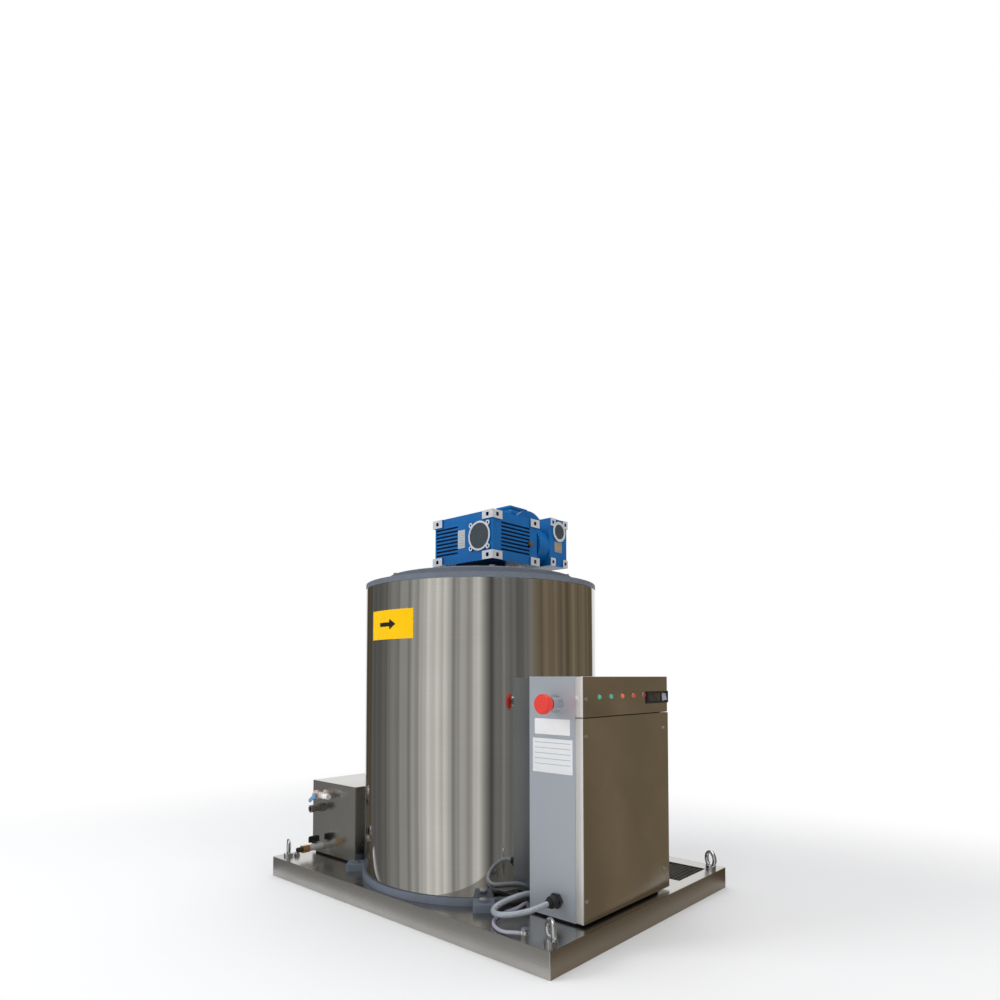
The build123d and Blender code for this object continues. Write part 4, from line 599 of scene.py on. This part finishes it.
# near-black flange: partly dark iron, partly painted shade of the gap between the drum lid and the
# gearbox
IRON_DARK_AND_SHADE = Paint("flange_dark", (0.015, 0.02, 0.035), 0.5, 0.35)
PAINT_BLUE = Paint("gear_blue", BLUE, 0.3, 0.3, zones=pad_zones())
PAINT_SMALL = Paint("small_gear_blue", BLUE, 0.3, 0.3, zones=small_pad_zones())
PAINT_MOTOR = Paint("motor_blue", BLUE, 0.34, 0.25)
WHITE = Moulded("white_plastic", (0.74, 0.74, 0.71), 0.4)
FOAM = Moulded("cream_foam", (0.75, 0.68, 0.45), 0.85, 260.0, 0.5)
BLACK = Moulded("black_plastic", (0.016, 0.016, 0.018), 0.42)
GREY = Moulded("grey_plastic", (0.34, 0.37, 0.43), 0.42)
RUBBER = Moulded("black_rubber", (0.02, 0.02, 0.02), 0.7, 500.0, 0.3)
RED = Moulded("stop_red", (0.80, 0.055, 0.04), 0.35, 700.0, 0.05, 0.4)
LEVER = Moulded("lever_blue", (0.16, 0.32, 0.52), 0.35)
HOSE_BLACK = Moulded("conduit_black", (0.02, 0.021, 0.024), 0.5, 600.0, 0.1)
HOSE_GREY = Moulded("hose_grey", (0.36, 0.36, 0.44), 0.5, 600.0, 0.15)
CONDUIT = Steel("conduit_metal", (0.55, 0.60, 0.67), 0.3, Grain.NONE, 0.25, 0.2, metallic=0.6)
GLASS_DARK = Moulded("window_dark", (0.008, 0.009, 0.012), 0.12, 300.0, 0.0, 0.5, 1.0)
YELLOW = Moulded("plate_yellow", (0.98, 0.56, 0.001), 0.55, 600.0, 0.05, 0.15)
INK = Moulded("arrow_black", (0.01, 0.01, 0.01), 0.5)

# which solids of the frame each finish goes on
NODE_FINISHES: dict[Steel | Paint | Moulded, str] = {
    STEEL_TRAY: "base_tray",
    VENT_DARK: "vent_grille",
    STEEL_TANK: "water_tank tank_cover",
    STEEL_PLAIN: "base_channels main_shaft blade_carrier bearing_spider motor_shaft worm_shaft "
                 "mounting_plate",
    STEEL_BRIGHT: "evaporator_cylinder water_trough water_distributor ice_blade",
    STEEL_CASE: "control_casing",
    CHROME: "lifting_eyes deck_fittings hex_bolts cover_screws stop_collar bearings",
    CAP_GREY: "bore_caps",
    BRONZE: "worm_wheel small_worm_wheel oil_plugs",
    BRASS: "tank_fittings",
    COPPER: "refrigerant_pipes",
    RING_GREY: "foot_ring top_ring drum_lid",
    IRON_DARK_AND_SHADE: "gear_mount_flange",
    PAINT_BLUE: "gear_housing",
    PAINT_SMALL: "small_housing",
    PAINT_MOTOR: "motor_body fan_cover",
    WHITE: "motor_fan trough_drain_pipe feed_pipe",
    FOAM: "insulation",
    BLACK: "cable_gland drain_handle controller_module contactors circulation_pump",
    GREY: "rocker_switch float_arm",
    RUBBER: "deck_seals water_squeegee",
    LEVER: "inlet_lever",
}
Finish = Steel | Paint | Moulded | Printed


class Workshop:
    """Keeps one material per finish, and puts pieces in place on their bodies."""

    def __init__(self, frame: dict) -> None:
        """Takes the loaded frame."""
        self.frame = frame
        self.made: dict[str, bpy.types.Material] = {}

    def material(self, finish: Finish) -> bpy.types.Material:
        """Builds a finish's material once and returns it."""
        if finish.name not in self.made:
            self.made[finish.name] = finish.material()
        return self.made[finish.name]

    def paint(self, obj: bpy.types.Object, finish: Finish) -> bpy.types.Object:
        """Gives an object one material in all its slots and returns it."""
        material = self.material(finish)
        if not obj.material_slots:
            obj.data.materials.append(material)
        for place in obj.material_slots:
            place.material = material
        return obj

    def fit(self, obj: bpy.types.Object, body: str, slot: str, *nodes: str) -> bpy.types.Object:
        """Rides a new piece on a body, and hides the solids that it replaces.

        Args:
            obj: the piece, in place.
            body: the body that it moves with.
            slot: the record's material slot; not used.
            nodes: the solids that it replaces, if any.
        """
        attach(obj, body)
        if nodes:
            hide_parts(*nodes)
        log.info("%s on %s, %d faces", obj.name, body, len(obj.data.polygons))
        return obj

    def dress_nodes(self) -> None:
        """Gives every solid of the frame its finish."""
        for finish, nodes in NODE_FINISHES.items():
            for node in nodes.split():
                self.paint(self.frame["nodes"][node], finish)


# ---- sub-assemblies


@dataclass
class Drum:
    """Polished skin of the freezing drum, with rolled rims."""

    shop: Workshop
    radius: float = 0.283
    bottom: float = 0.0635
    top: float = 0.728
    wall: float = 0.0015
    roll: float = 0.0012
    lip: float = 0.004

    def build(self) -> None:
        """Turns the skin's section: inner rim, outer rim, straight wall, rim again."""
        inner = self.radius - self.wall
        profile = rounded_profile([
            (inner, self.bottom + self.lip, 0.0),
            (inner, self.bottom, self.roll / 2),
            (self.radius, self.bottom, self.roll),
            (self.radius, self.top, self.roll),
            (inner, self.top, self.roll / 2),
            (inner, self.top - self.lip, 0.0),
        ])
        obj = turned("drum_skin", profile, (*DRUM_CENTRE, 0.0), segments=256, caps=(False, False))
        self.shop.fit(self.shop.paint(obj, STEEL_DRUM), "frame", "polished_steel", "drum_cladding")


@dataclass
class ArrowPlate:
    """Yellow plate bent to the drum, with a black arrow that shows the way of turning."""

    shop: Workshop
    start: float = -106.5
    end: float = -77.0
    low: float = 0.601
    high: float = 0.666
    radius: float = 0.28365
    arrow_from: float = -99.0
    arrow_to: float = -87.5
    arrow_z: float = 0.634
    shaft: float = 0.0045
    barb: float = 0.0117
    tip: float = 0.0003
    head_share: float = 0.36
    sheet: float = 0.0005
    sunk: float = 0.0006
    ink: float = 0.0002

    def bent(self, name: str, angle: np.ndarray, low: np.ndarray, high: np.ndarray,
             radius: float, thickness: float) -> bpy.types.Object:
        """A thin strip on the drum: at each angle it runs from low to high.

        Its section at each angle is the loop inner-low, outer-low, outer-high, inner-high.

        Args:
            name: name of the piece.
            angle: angles in degrees.
            low: lower edge at each angle.
            high: upper edge at each angle.
            radius: inner radius.
            thickness: how far it stands out.
        """
        turn = np.radians(angle)
        r = np.array([radius, radius + thickness, radius + thickness, radius])
        z = np.stack((low, low, high, high), axis=1)
        x = DRUM_CENTRE[0] + r[None] * np.cos(turn)[:, None]
        y = DRUM_CENTRE[1] + r[None] * np.sin(turn)[:, None]
        return grid_object(name, np.stack((x, y, z), axis=-1), smooth=False)

    def build(self) -> None:
        """Builds the plate and its arrow."""
        angle = np.linspace(self.start, self.end, 40)
        level = np.ones_like(angle)
        plate = self.bent("arrow_plate", angle, self.low * level, self.high * level,
                          self.radius - self.sunk, self.sheet)
        self.shop.paint(plate, YELLOW)
        angle = np.linspace(self.arrow_from, self.arrow_to, 60)
        along = (angle - self.arrow_from) / (self.arrow_to - self.arrow_from)
        point = self.barb * (1 - along) / self.head_share + self.tip
        half = np.where(along < 1 - self.head_share, self.shaft, point)
        arrow = self.bent("turning_arrow", angle, self.arrow_z - half, self.arrow_z + half,
                          self.radius, self.ink)
        self.shop.paint(arrow, INK)
        self.shop.fit(plate, "frame", "white_plastic")
        self.shop.fit(arrow, "frame", "black_plastic")


@dataclass
class Labels:
    """Flat plates on the control box and the gearboxes, bare but for ruled lines."""

    shop: Workshop
    thickness: float = 0.0006
    rim: float = 0.0002
    corner: float = 0.0015
    plates: tuple[tuple[str, Vec3, Axis, float, float, Printed], ...] = (
        ("stop_label", (0.3655, -0.222, 0.4205), Axis.FRONT, 0.087, 0.031,
         Printed("label_white", (0.8, 0.8, 0.8), (0.8, 0.8, 0.8), 0.01,
                 (0, 0, 0), (0.1, 0.1, 0.1))),
        ("data_label", (0.366, -0.222, 0.3635), Axis.FRONT, 0.098, 0.067,
         Printed("label_ruled", (0.74, 0.75, 0.76), (0.3, 0.32, 0.35), 0.0105,
                 (0.322, -0.23, 0.337), (0.410, -0.22, 0.392))),
        ("gear_label", (0.0255, -0.138, 0.8495), Axis.FRONT, 0.024, 0.044,
         Printed("plate_alloy", (0.5, 0.52, 0.55), (0.12, 0.13, 0.15), 0.006,
                 (0.016, -0.14, 0.832), (0.035, -0.13, 0.868))),
        ("small_gear_label", (0.1345, 0.1015, 0.8495), Axis.RIGHT, 0.030, 0.026,
         Printed("plate_bronze", (0.36, 0.30, 0.22), (0.1, 0.08, 0.06), 0.006,
                 (0.13, 0.09, 0.84), (0.14, 0.114, 0.86))),
    )

    def build(self) -> None:
        """Builds each plate with a softly rounded rim, on the face that its centre lies on."""
        for name, centre, axis, width, height, finish in self.plates:
            up = np.array(axis.value[0], float)
            face = tuple((np.array(centre) + up * self.thickness).tolist())
            plate = panel(name, face, axis, width, height,
                          edge_stations(self.thickness, self.rim), self.corner)
            self.shop.fit(self.shop.paint(plate, finish), "frame", "white_plastic")
        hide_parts("nameplates")


@dataclass
class ControlBox:
    """Covers, lamps, controller window and stop button of the control box."""

    shop: Workshop
    seam_x: float = 0.421
    face_x: float = 0.440
    front: float = -0.222
    back: float = 0.102
    door_back: float = 0.105
    bottom: float = 0.0527
    door_top: float = 0.4396
    fascia_low: float = 0.4404
    top: float = 0.519
    fold: float = 0.0022
    sheet: float = 0.0015
    corner: float = 0.0025
    lamp_z: float = 0.479
    lamps: tuple[tuple[float, Vec3], ...] = (
        (-0.168, (0.03, 0.42, 0.28)), (-0.127, (0.03, 0.40, 0.30)), (-0.085, (0.75, 0.12, 0.03)),
        (-0.042, (0.62, 0.04, 0.02)), (-0.0005, (0.30, 0.02, 0.02)),
    )
    stop: Vec3 = (0.375, -0.254, 0.466)

    def cover(self, name: str, y1: float, z0: float, z1: float, node: str) -> None:
        """One folded cover: a pan with a rounded fold, open towards the casing.

        Args:
            name: name of the piece.
            y1: the cover's far edge.
            z0: its lower edge.
            z1: its upper edge.
            node: the solid that it stands for.
        """
        centre = (self.face_x, (self.front + y1) / 2, (z0 + z1) / 2)
        stations = edge_stations(self.face_x - self.seam_x, self.fold, self.sheet)
        obj = panel(name, centre, Axis.RIGHT, y1 - self.front, z1 - z0, stations, self.corner,
                    (False, True))
        self.shop.fit(self.shop.paint(obj, STEEL_DOOR), "frame", "polished_steel", node)

    def lamp_row(self) -> None:
        """Five lamps: a turned plated bezel and a domed lens each, in the lens' own colour.

        The lens is a quarter ellipse, (radius sin a, foot + rise cos a), from its rim to its top.
        """
        bezel = rounded_profile([
            (0.0048, -0.003, 0.0), (0.0058, -0.003, 0.0004), (0.0058, 0.001, 0.0006),
            (0.0046, 0.0012, 0.0003), (0.0046, -0.001, 0.0),
        ])
        radius, foot, rise = 0.0045, 0.001, 0.0029
        a = np.linspace(1, 0.02, 10) * math.pi / 2
        lens = np.stack((radius * np.sin(a), foot + rise * np.cos(a)), axis=1)
        for k, (y, colour) in enumerate(self.lamps):
            origin = (self.face_x, y, self.lamp_z)
            ring = turned(f"lamp_bezel_{k}", bezel, origin, Axis.RIGHT, 32, (False, False))
            self.shop.paint(ring, CHROME)
            dome = turned(f"lamp_lens_{k}", lens, origin, Axis.RIGHT, 32)
            glass = Moulded(f"lens_{k}", colour, 0.18, 400.0, 0.0, 0.5, coat=0.8, glow=0.35)
            self.shop.paint(dome, glass)
            self.shop.fit(ring, "frame", "bolt_steel")
            self.shop.fit(dome, "frame", "lamp_plastic")
        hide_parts("indicator_lamps")

    def window(self) -> None:
        """Dark window of the controller, sunk in its bezel."""
        centre, width, height = (0.4419, 0.0420, 0.474), 0.0485, 0.0172
        depth, edge, corner = 0.0004, 0.0002, 0.001
        obj = panel("controller_window", centre, Axis.RIGHT, width, height,
                    edge_stations(depth, edge), corner)
        self.shop.fit(self.shop.paint(obj, GLASS_DARK), "frame", "black_plastic")

    def button(self) -> None:
        """Mushroom head of the stop button: stem, flat underside, rounded rim and a dished top."""
        profile = rounded_profile([
            (0.0079, -0.034, 0.0), (0.0079, 0.0, 0.0008), (0.0185, 0.0, 0.0012),
            (0.0199, 0.004, 0.002), (0.0199, 0.0115, 0.004), (0.0160, 0.0158, 0.0025),
            (0.0060, 0.0152, 0.002), (0.0004, 0.0150, 0.0),
        ])
        obj = turned("stop_head", profile, self.stop, Axis.FRONT, 72)
        self.shop.fit(self.shop.paint(obj, RED), "stop", "stop_red", "stop_button")

    def build(self) -> None:
        """Builds the covers, lamps, window and button."""
        self.cover("door_cover", self.door_back, self.bottom, self.door_top, "control_door")
        self.cover("fascia_cover", self.back, self.fascia_low, self.top, "control_fascia")
        self.lamp_row()
        self.window()
        self.button()


@dataclass
class TerminalBox:
    """The motor's terminal box, with the line round it where its lid meets it."""

    shop: Workshop
    centre: Vec3 = (-0.0255, 0.1035, 0.976)
    width: float = 0.0555
    depth: float = 0.075
    height: float = 0.028
    edge: float = 0.003
    corner: float = 0.006
    lid: tuple[tuple[float, float], ...] = (
        (0.0, -0.012), (0.0011, -0.0119), (0.0011, -0.0106), (0.0, -0.0105),
    )

    def build(self) -> None:
        """Builds the box as one pan, drawn in at the lid's line."""
        stations = edge_stations(self.height, self.edge)
        stations[1:1] = self.lid
        obj = panel("terminal_box_shell", self.centre, Axis.UP, self.width, self.depth, stations,
                    self.corner)
        self.shop.fit(self.shop.paint(obj, PAINT_MOTOR), "frame", "gear_blue", "terminal_box")


@dataclass
class Hose:
    """A cord on the deck: a round tube along a smooth NURBS line, plain or ribbed."""

    shop: Workshop
    name: str
    node: str
    route: list[Vec3]
    radius: float
    length: float
    finish: Steel | Moulded
    slot: str
    stiffness: str
    pitch: float = 0.0
    rib: float = 0.0
    segments: int = 28
    step: float = 0.0015
    soften: int = 4
    across: Vec3 = (0.62, 0.0, 0.785)

    def line(self) -> np.ndarray:
        """Points x 3 along the route's NURBS line, order 3, through its first and last points."""
        curve = bpy.data.curves.new(self.name + "_line", "CURVE")
        curve.dimensions = "3D"
        spline = curve.splines.new("NURBS")
        spline.points.add(len(self.route) - 1)
        flat = np.ones((len(self.route), 4))
        flat[:, :3] = self.route
        spline.points.foreach_set("co", flat.ravel())
        spline.order_u = 3
        spline.use_endpoint_u = True
        spline.resolution_u = 24
        obj = bpy.data.objects.new(self.name + "_line", curve)
        mesh = bpy.data.meshes.new_from_object(obj)
        points = np.empty(len(mesh.vertices) * 3)
        mesh.vertices.foreach_get("co", points)
        bpy.data.objects.remove(obj)
        bpy.data.meshes.remove(mesh)
        return points.reshape(-1, 3)

    def build(self) -> None:
        """Carries a circle along the line, square to its direction, softened over a few steps.

        A ribbed tube's radius at a length s is r - rib (1 + cos(2 pi s / pitch)) / 2.
        """
        line = self.line()
        steps = np.linalg.norm(np.diff(line, axis=0), axis=1)
        along = np.concatenate(([0.0], np.cumsum(steps)))
        total = float(along[-1])
        gap = self.pitch / 8 if self.pitch else self.step
        s = np.linspace(0, total, max(8, int(total / gap)))
        path = np.stack([np.interp(s, along, line[:, k]) for k in range(3)], axis=1)
        tangent = np.gradient(path, axis=0)
        window = np.full(2 * self.soften + 1, 1 / (2 * self.soften + 1))
        tangent = np.stack([np.convolve(np.pad(c, self.soften, "edge"), window, "valid")
                            for c in tangent.T], axis=1)
        tangent /= np.linalg.norm(tangent, axis=1, keepdims=True)
        up = np.array(self.across)
        side = up - (tangent @ up)[:, None] * tangent
        side /= np.linalg.norm(side, axis=1, keepdims=True)
        other = np.cross(tangent, side)
        radius = np.full_like(s, self.radius)
        if self.pitch:
            radius = self.radius - self.rib * (1 + np.cos(2 * math.pi * s / self.pitch)) / 2
        angle = np.linspace(0, 2 * math.pi, self.segments, endpoint=False)
        points = path[:, None] + radius[:, None, None] * (
            np.cos(angle)[:, None] * side[:, None] + np.sin(angle)[:, None] * other[:, None])
        obj = grid_object(self.name, points)
        self.shop.fit(self.shop.paint(obj, self.finish), "frame", self.slot, self.node)
        log.info("%s is %.4f m along its line", self.name, total)


def hoses(shop: Workshop) -> list[Hose]:
    """The three cords that lie on the deck, with their route points, not yet built."""
    metal = [
        (0.376, -0.2523, 0.087), (0.376, -0.275, 0.087), (0.366, -0.297, 0.082),
        (0.345, -0.312, 0.076), (0.320, -0.318, 0.070), (0.297, -0.313, 0.066),
        (0.277, -0.297, 0.0645), (0.2675, -0.273, 0.066), (0.271, -0.248, 0.071),
        (0.279, -0.224, 0.075), (0.285, -0.202, 0.076), (0.290, -0.184, 0.072),
        (0.293, -0.172, 0.062), (0.293, -0.172, 0.0506),
    ]
    grey = [
        (0.37858, -0.33171, 0.055), (0.367226, -0.337387, 0.055), (0.350, -0.342, 0.0522),
        (0.333, -0.341, 0.0518), (0.316, -0.334, 0.0518), (0.301, -0.322, 0.0518),
        (0.289, -0.306, 0.0518), (0.282, -0.287, 0.0518), (0.279, -0.268, 0.0518),
        (0.281, -0.248, 0.0523), (0.2855, -0.231, 0.0548), (0.2885, -0.217, 0.0598),
        (0.290, -0.206, 0.0601), (0.290, -0.206, 0.0506),
    ]
    black = [
        (0.266, -0.262, 0.0506), (0.264, -0.252, 0.0575), (0.262, -0.240, 0.058),
        (0.2628, -0.226, 0.056), (0.267, -0.212, 0.055), (0.2735, -0.199, 0.059),
        (0.281, -0.187, 0.0506),
    ]
    return [
        Hose(shop, "ribbed_conduit", "metal_conduit", metal, 0.006, 0.2921, CONDUIT,
             "conduit_metal", "medium", 0.0042, 0.0009),
        Hose(shop, "deck_hose", "grey_hose", grey, 0.0035, 0.2156, HOSE_GREY, "grey_plastic",
             "medium"),
        Hose(shop, "corrugated_conduit", "black_conduit", black, 0.005, 0.0835, HOSE_BLACK,
             "black_plastic", "medium", 0.004, 0.0012),
    ]


# ---- the studio


@dataclass
class Studio:
    """Pale floor, surroundings, soft panels of light, and the camera of the photograph.

    The room is a list of (angle about Z in degrees, brightness), as the polished drum sees it:
    brown-tinted beyond brown_from, grey-tinted before it, and white between backdrop's angles.
    """

    camera_place: Vec3 = (1.191, -1.281, 0.520)
    camera_turn: Vec3 = (92.19, 0.0, 42.3)
    lens: float = 24.48
    shift_y: float = 0.15
    floor_half: float = 9.0
    floor_level: float = -0.0005
    tray_half: tuple[float, float] = (0.46, 0.35)
    camera_fade: tuple[float, float] = (1.5, 4.5)
    gloss_fade: tuple[float, float] = (1.04, 1.18)
    panels: tuple[tuple[str, Vec3, Vec3, float, float, float, Vec3], ...] = (
        # name, place, target, width, height, watts, colour
        ("key_panel", (-1.6, -2.6, 2.0), (0.0, 0.0, 0.45), 1.4, 1.8, 44.0, (0.96, 0.98, 1.0)),
        ("right_panel", (3.2, -0.3, 1.5), (0.0, 0.0, 0.4), 0.8, 2.0, 22.0, (1.0, 0.95, 0.88)),
        ("top_panel", (0.2, 0.1, 3.2), (0.0, 0.0, 0.0), 2.4, 2.4, 30.0, (1.0, 1.0, 1.0)),
        ("front_strip", (1.0, -3.2, 1.2), (0.0, 0.0, 0.4), 0.35, 2.2, 12.0, (1.0, 0.99, 0.97)),
    )
    brown: Vec3 = (1.0, 0.80, 0.55)
    grey: Vec3 = (1.0, 0.985, 0.95)
    brown_from: float = 5.0
    backdrop: tuple[float, float] = (98.0, 160.0)
    line_scale: float = 42.0
    line_depth: float = 0.34
    even_light: Vec3 = (0.52, 0.53, 0.55)
    room: tuple[tuple[float, float], ...] = (
        (-180, 0.12), (-165, 0.13), (-152, 0.20), (-140, 0.28), (-128, 0.42), (-118, 0.32),
        (-108, 0.52), (-98, 0.78), (-89, 0.88), (-80, 0.80), (-71, 0.47), (-62, 0.43),
        (-53, 0.82), (-46, 0.52), (-36, 0.13), (-27, 0.30), (-18, 0.20), (-9, 0.15),
        (0, 0.24), (10, 0.24), (19, 0.26), (30, 0.20), (42, 0.20), (58, 0.22), (75, 0.20),
        (92, 0.14), (97, 0.14), (99, 1.0), (158, 1.0), (161, 0.10), (180, 0.12),
    )

    def surroundings(self, nodes: Nodes, direction: bpy.types.NodeSocket) -> bpy.types.NodeSocket:
        """Tone of the room in a direction: dim walls with soft upright lines, and a white backdrop.

        The place on the ramp is atan2(y, x) / (2 pi) + 0.5. The ramp's alpha is 0 on the
        backdrop, where there are no lines.

        Args:
            nodes: node tree to add to.
            direction: socket with the direction.

        Returns:
            Socket of the colour: white for the camera, the room's tone for gloss and glass.
        """
        parts = nodes.add("ShaderNodeSeparateXYZ", {0: direction}).outputs
        turn = nodes.math("ARCTAN2", parts[1], parts[0])
        ends = {"Value": turn, "From Min": -math.pi, "From Max": math.pi}
        place = nodes.add("ShaderNodeMapRange", ends).outputs[0]
        ramp = nodes.add("ShaderNodeValToRGB", {0: place})
        elements = ramp.color_ramp.elements
        elements.remove(elements[1])
        for angle, level in self.room:
            white = self.backdrop[0] < angle < self.backdrop[1]
            tint = self.brown if angle > self.brown_from else self.grey
            tint = (1.0, 1.0, 1.0) if white else tint
            element = elements.new((angle + 180) / 360) if angle > -180 else elements[0]
            element.color = (*(level * c for c in tint), 0.0 if white else 1.0)
        lines = nodes.add("ShaderNodeTexNoise", noise_dimensions="1D", inputs={
            "W": place, "Scale": self.line_scale, "Detail": 3.0})
        shade = nodes.add("ShaderNodeMapRange", {
            "Value": lines.outputs[0], "From Min": 0.3, "From Max": 0.7,
            "To Min": 1.0 - self.line_depth, "To Max": 1.0 + self.line_depth}).outputs[0]
        keep = nodes.mix(ramp.outputs["Alpha"], 1.0, shade)
        tone = nodes.add("ShaderNodeVectorMath", {0: ramp.outputs[0], "Scale": keep},
                         operation="SCALE").outputs[0]
        seen = nodes.add("ShaderNodeLightPath").outputs["Is Camera Ray"]
        return nodes.blend(seen, tone, (1.0, 1.0, 1.0))

    def shown(self, nodes: Nodes) -> bpy.types.NodeSocket:
        """1 for camera, glossy and transmission rays, 0 for the rest."""
        path = nodes.add("ShaderNodeLightPath").outputs
        mirrored = nodes.math("MAXIMUM", path["Is Glossy Ray"], path["Is Transmission Ray"])
        return nodes.math("MAXIMUM", path["Is Camera Ray"], mirrored)

    def world(self) -> None:
        """The room as camera, gloss and glass see it, and an even soft light for the rest."""
        world = bpy.data.worlds.new("surroundings")
        bpy.context.scene.world = world
        world.use_nodes = True
        nodes = Nodes(world.node_tree)
        direction = nodes.add("ShaderNodeTexCoord").outputs["Generated"]
        tone = self.surroundings(nodes, direction)
        back = nodes.tree.nodes["Background"]
        nodes.tree.links.new(nodes.blend(self.shown(nodes), self.even_light, tone), back.inputs[0])
        back.inputs[1].default_value = 1.0

    def floor(self) -> None:
        """A large pale floor, with a shadow near the object and the room's tone away from it.

        How far out a place is: the larger of |x| and |y| against half the tray. The floor turns
        from its own paint into the surroundings' tone between two such distances, which are
        closer in for gloss than for the camera.
        """
        side = np.array([-self.floor_half, self.floor_half])
        x, y = np.meshgrid(side, side)
        points = np.stack((x, y, np.full_like(x, self.floor_level)), axis=-1)
        obj = grid_object("studio_floor", points, closed=False)
        g = Graph("floor_white")
        g.set("Base Color", g.blend(g.noise(3.0), (0.90, 0.90, 0.90), (0.92, 0.92, 0.92)))
        g.set("Roughness", 0.8)
        g.set("Specular IOR Level", 0.1)
        towards = g.add("ShaderNodeNewGeometry").outputs["Incoming"]
        away = g.add("ShaderNodeVectorMath", {0: towards, "Scale": -1.0},
                     operation="SCALE").outputs[0]
        parts = g.add("ShaderNodeSeparateXYZ", {0: g.vector("ABSOLUTE", g.place)}).outputs
        shares = [g.math("DIVIDE", parts[k], self.tray_half[k]) for k in range(2)]
        seen = g.add("ShaderNodeLightPath").outputs["Is Camera Ray"]
        near, far = (g.between(seen, gloss, camera)
                     for gloss, camera in zip(self.gloss_fade, self.camera_fade))
        ends = {"Value": g.math("MAXIMUM", *shares), "From Min": near, "From Max": far}
        fade = g.add("ShaderNodeMapRange", ends, interpolation_type="SMOOTHSTEP").outputs[0]
        glow = g.add("ShaderNodeEmission", {0: self.surroundings(g, away), 1: 1.0})
        factor = g.math("MULTIPLY", fade, self.shown(g))
        mixed = g.add("ShaderNodeMixShader",
                      {0: factor, 1: g.shader.outputs[0], 2: glow.outputs[0]})
        output = next(n for n in g.tree.nodes if n.type == "OUTPUT_MATERIAL")
        g.tree.links.new(mixed.outputs[0], output.inputs[0])
        obj.data.materials.append(g.material)
        obj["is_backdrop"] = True

    def lights(self) -> None:
        """Area lights turned towards their targets; the polished drum mirrors only the top one."""
        for name, place, target, width, height, power, colour in self.panels:
            data = bpy.data.lights.new(name, "AREA")
            data.shape = "RECTANGLE"
            data.size = width
            data.size_y = height
            data.energy = power
            data.color = colour
            obj = bpy.data.objects.new(name, data)
            bpy.context.scene.collection.objects.link(obj)
            obj.location = place
            obj.visible_glossy = name == "top_panel"
            aim = np.array(target) - np.array(place)
            flat = math.hypot(aim[0], aim[1])
            obj.rotation_euler = (math.atan2(flat, -aim[2]), 0.0,
                                  math.atan2(-aim[0], aim[1]))

    def camera(self) -> None:
        """The camera of the photograph."""
        data = bpy.data.cameras.new("photo_camera")
        data.sensor_width = 36.0
        data.lens = self.lens
        data.shift_y = self.shift_y
        data.dof.use_dof = False
        obj = bpy.data.objects.new("photo_camera", data)
        bpy.context.scene.collection.objects.link(obj)
        obj.location = self.camera_place
        obj.rotation_euler = tuple(math.radians(a) for a in self.camera_turn)
        bpy.context.scene.camera = obj

    def build(self) -> None:
        """Sets up the floor, the surroundings, the lights and the camera."""
        bpy.context.scene.view_settings.view_transform = "Standard"
        self.world()
        self.floor()
        self.lights()
        self.camera()


def corners() -> list[list[float]]:
    """The shown object's lowest and highest corner, as plain lists."""
    low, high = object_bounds()
    return [[float(v) for v in low], [float(v) for v in high]]


def main() -> None:
    """Loads the frame, dresses it, adds its pieces and sets up the studio."""
    logging.basicConfig(level=logging.INFO, format="%(name)s %(message)s")
    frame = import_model()
    shop = Workshop(frame)
    shop.dress_nodes()
    Studio().build()
    for hose in hoses(shop):
        hose.build()
    Drum(shop).build()
    ArrowPlate(shop).build()
    Labels(shop).build()
    ControlBox(shop).build()
    TerminalBox(shop).build()


if __name__ == "__main__":
    main()
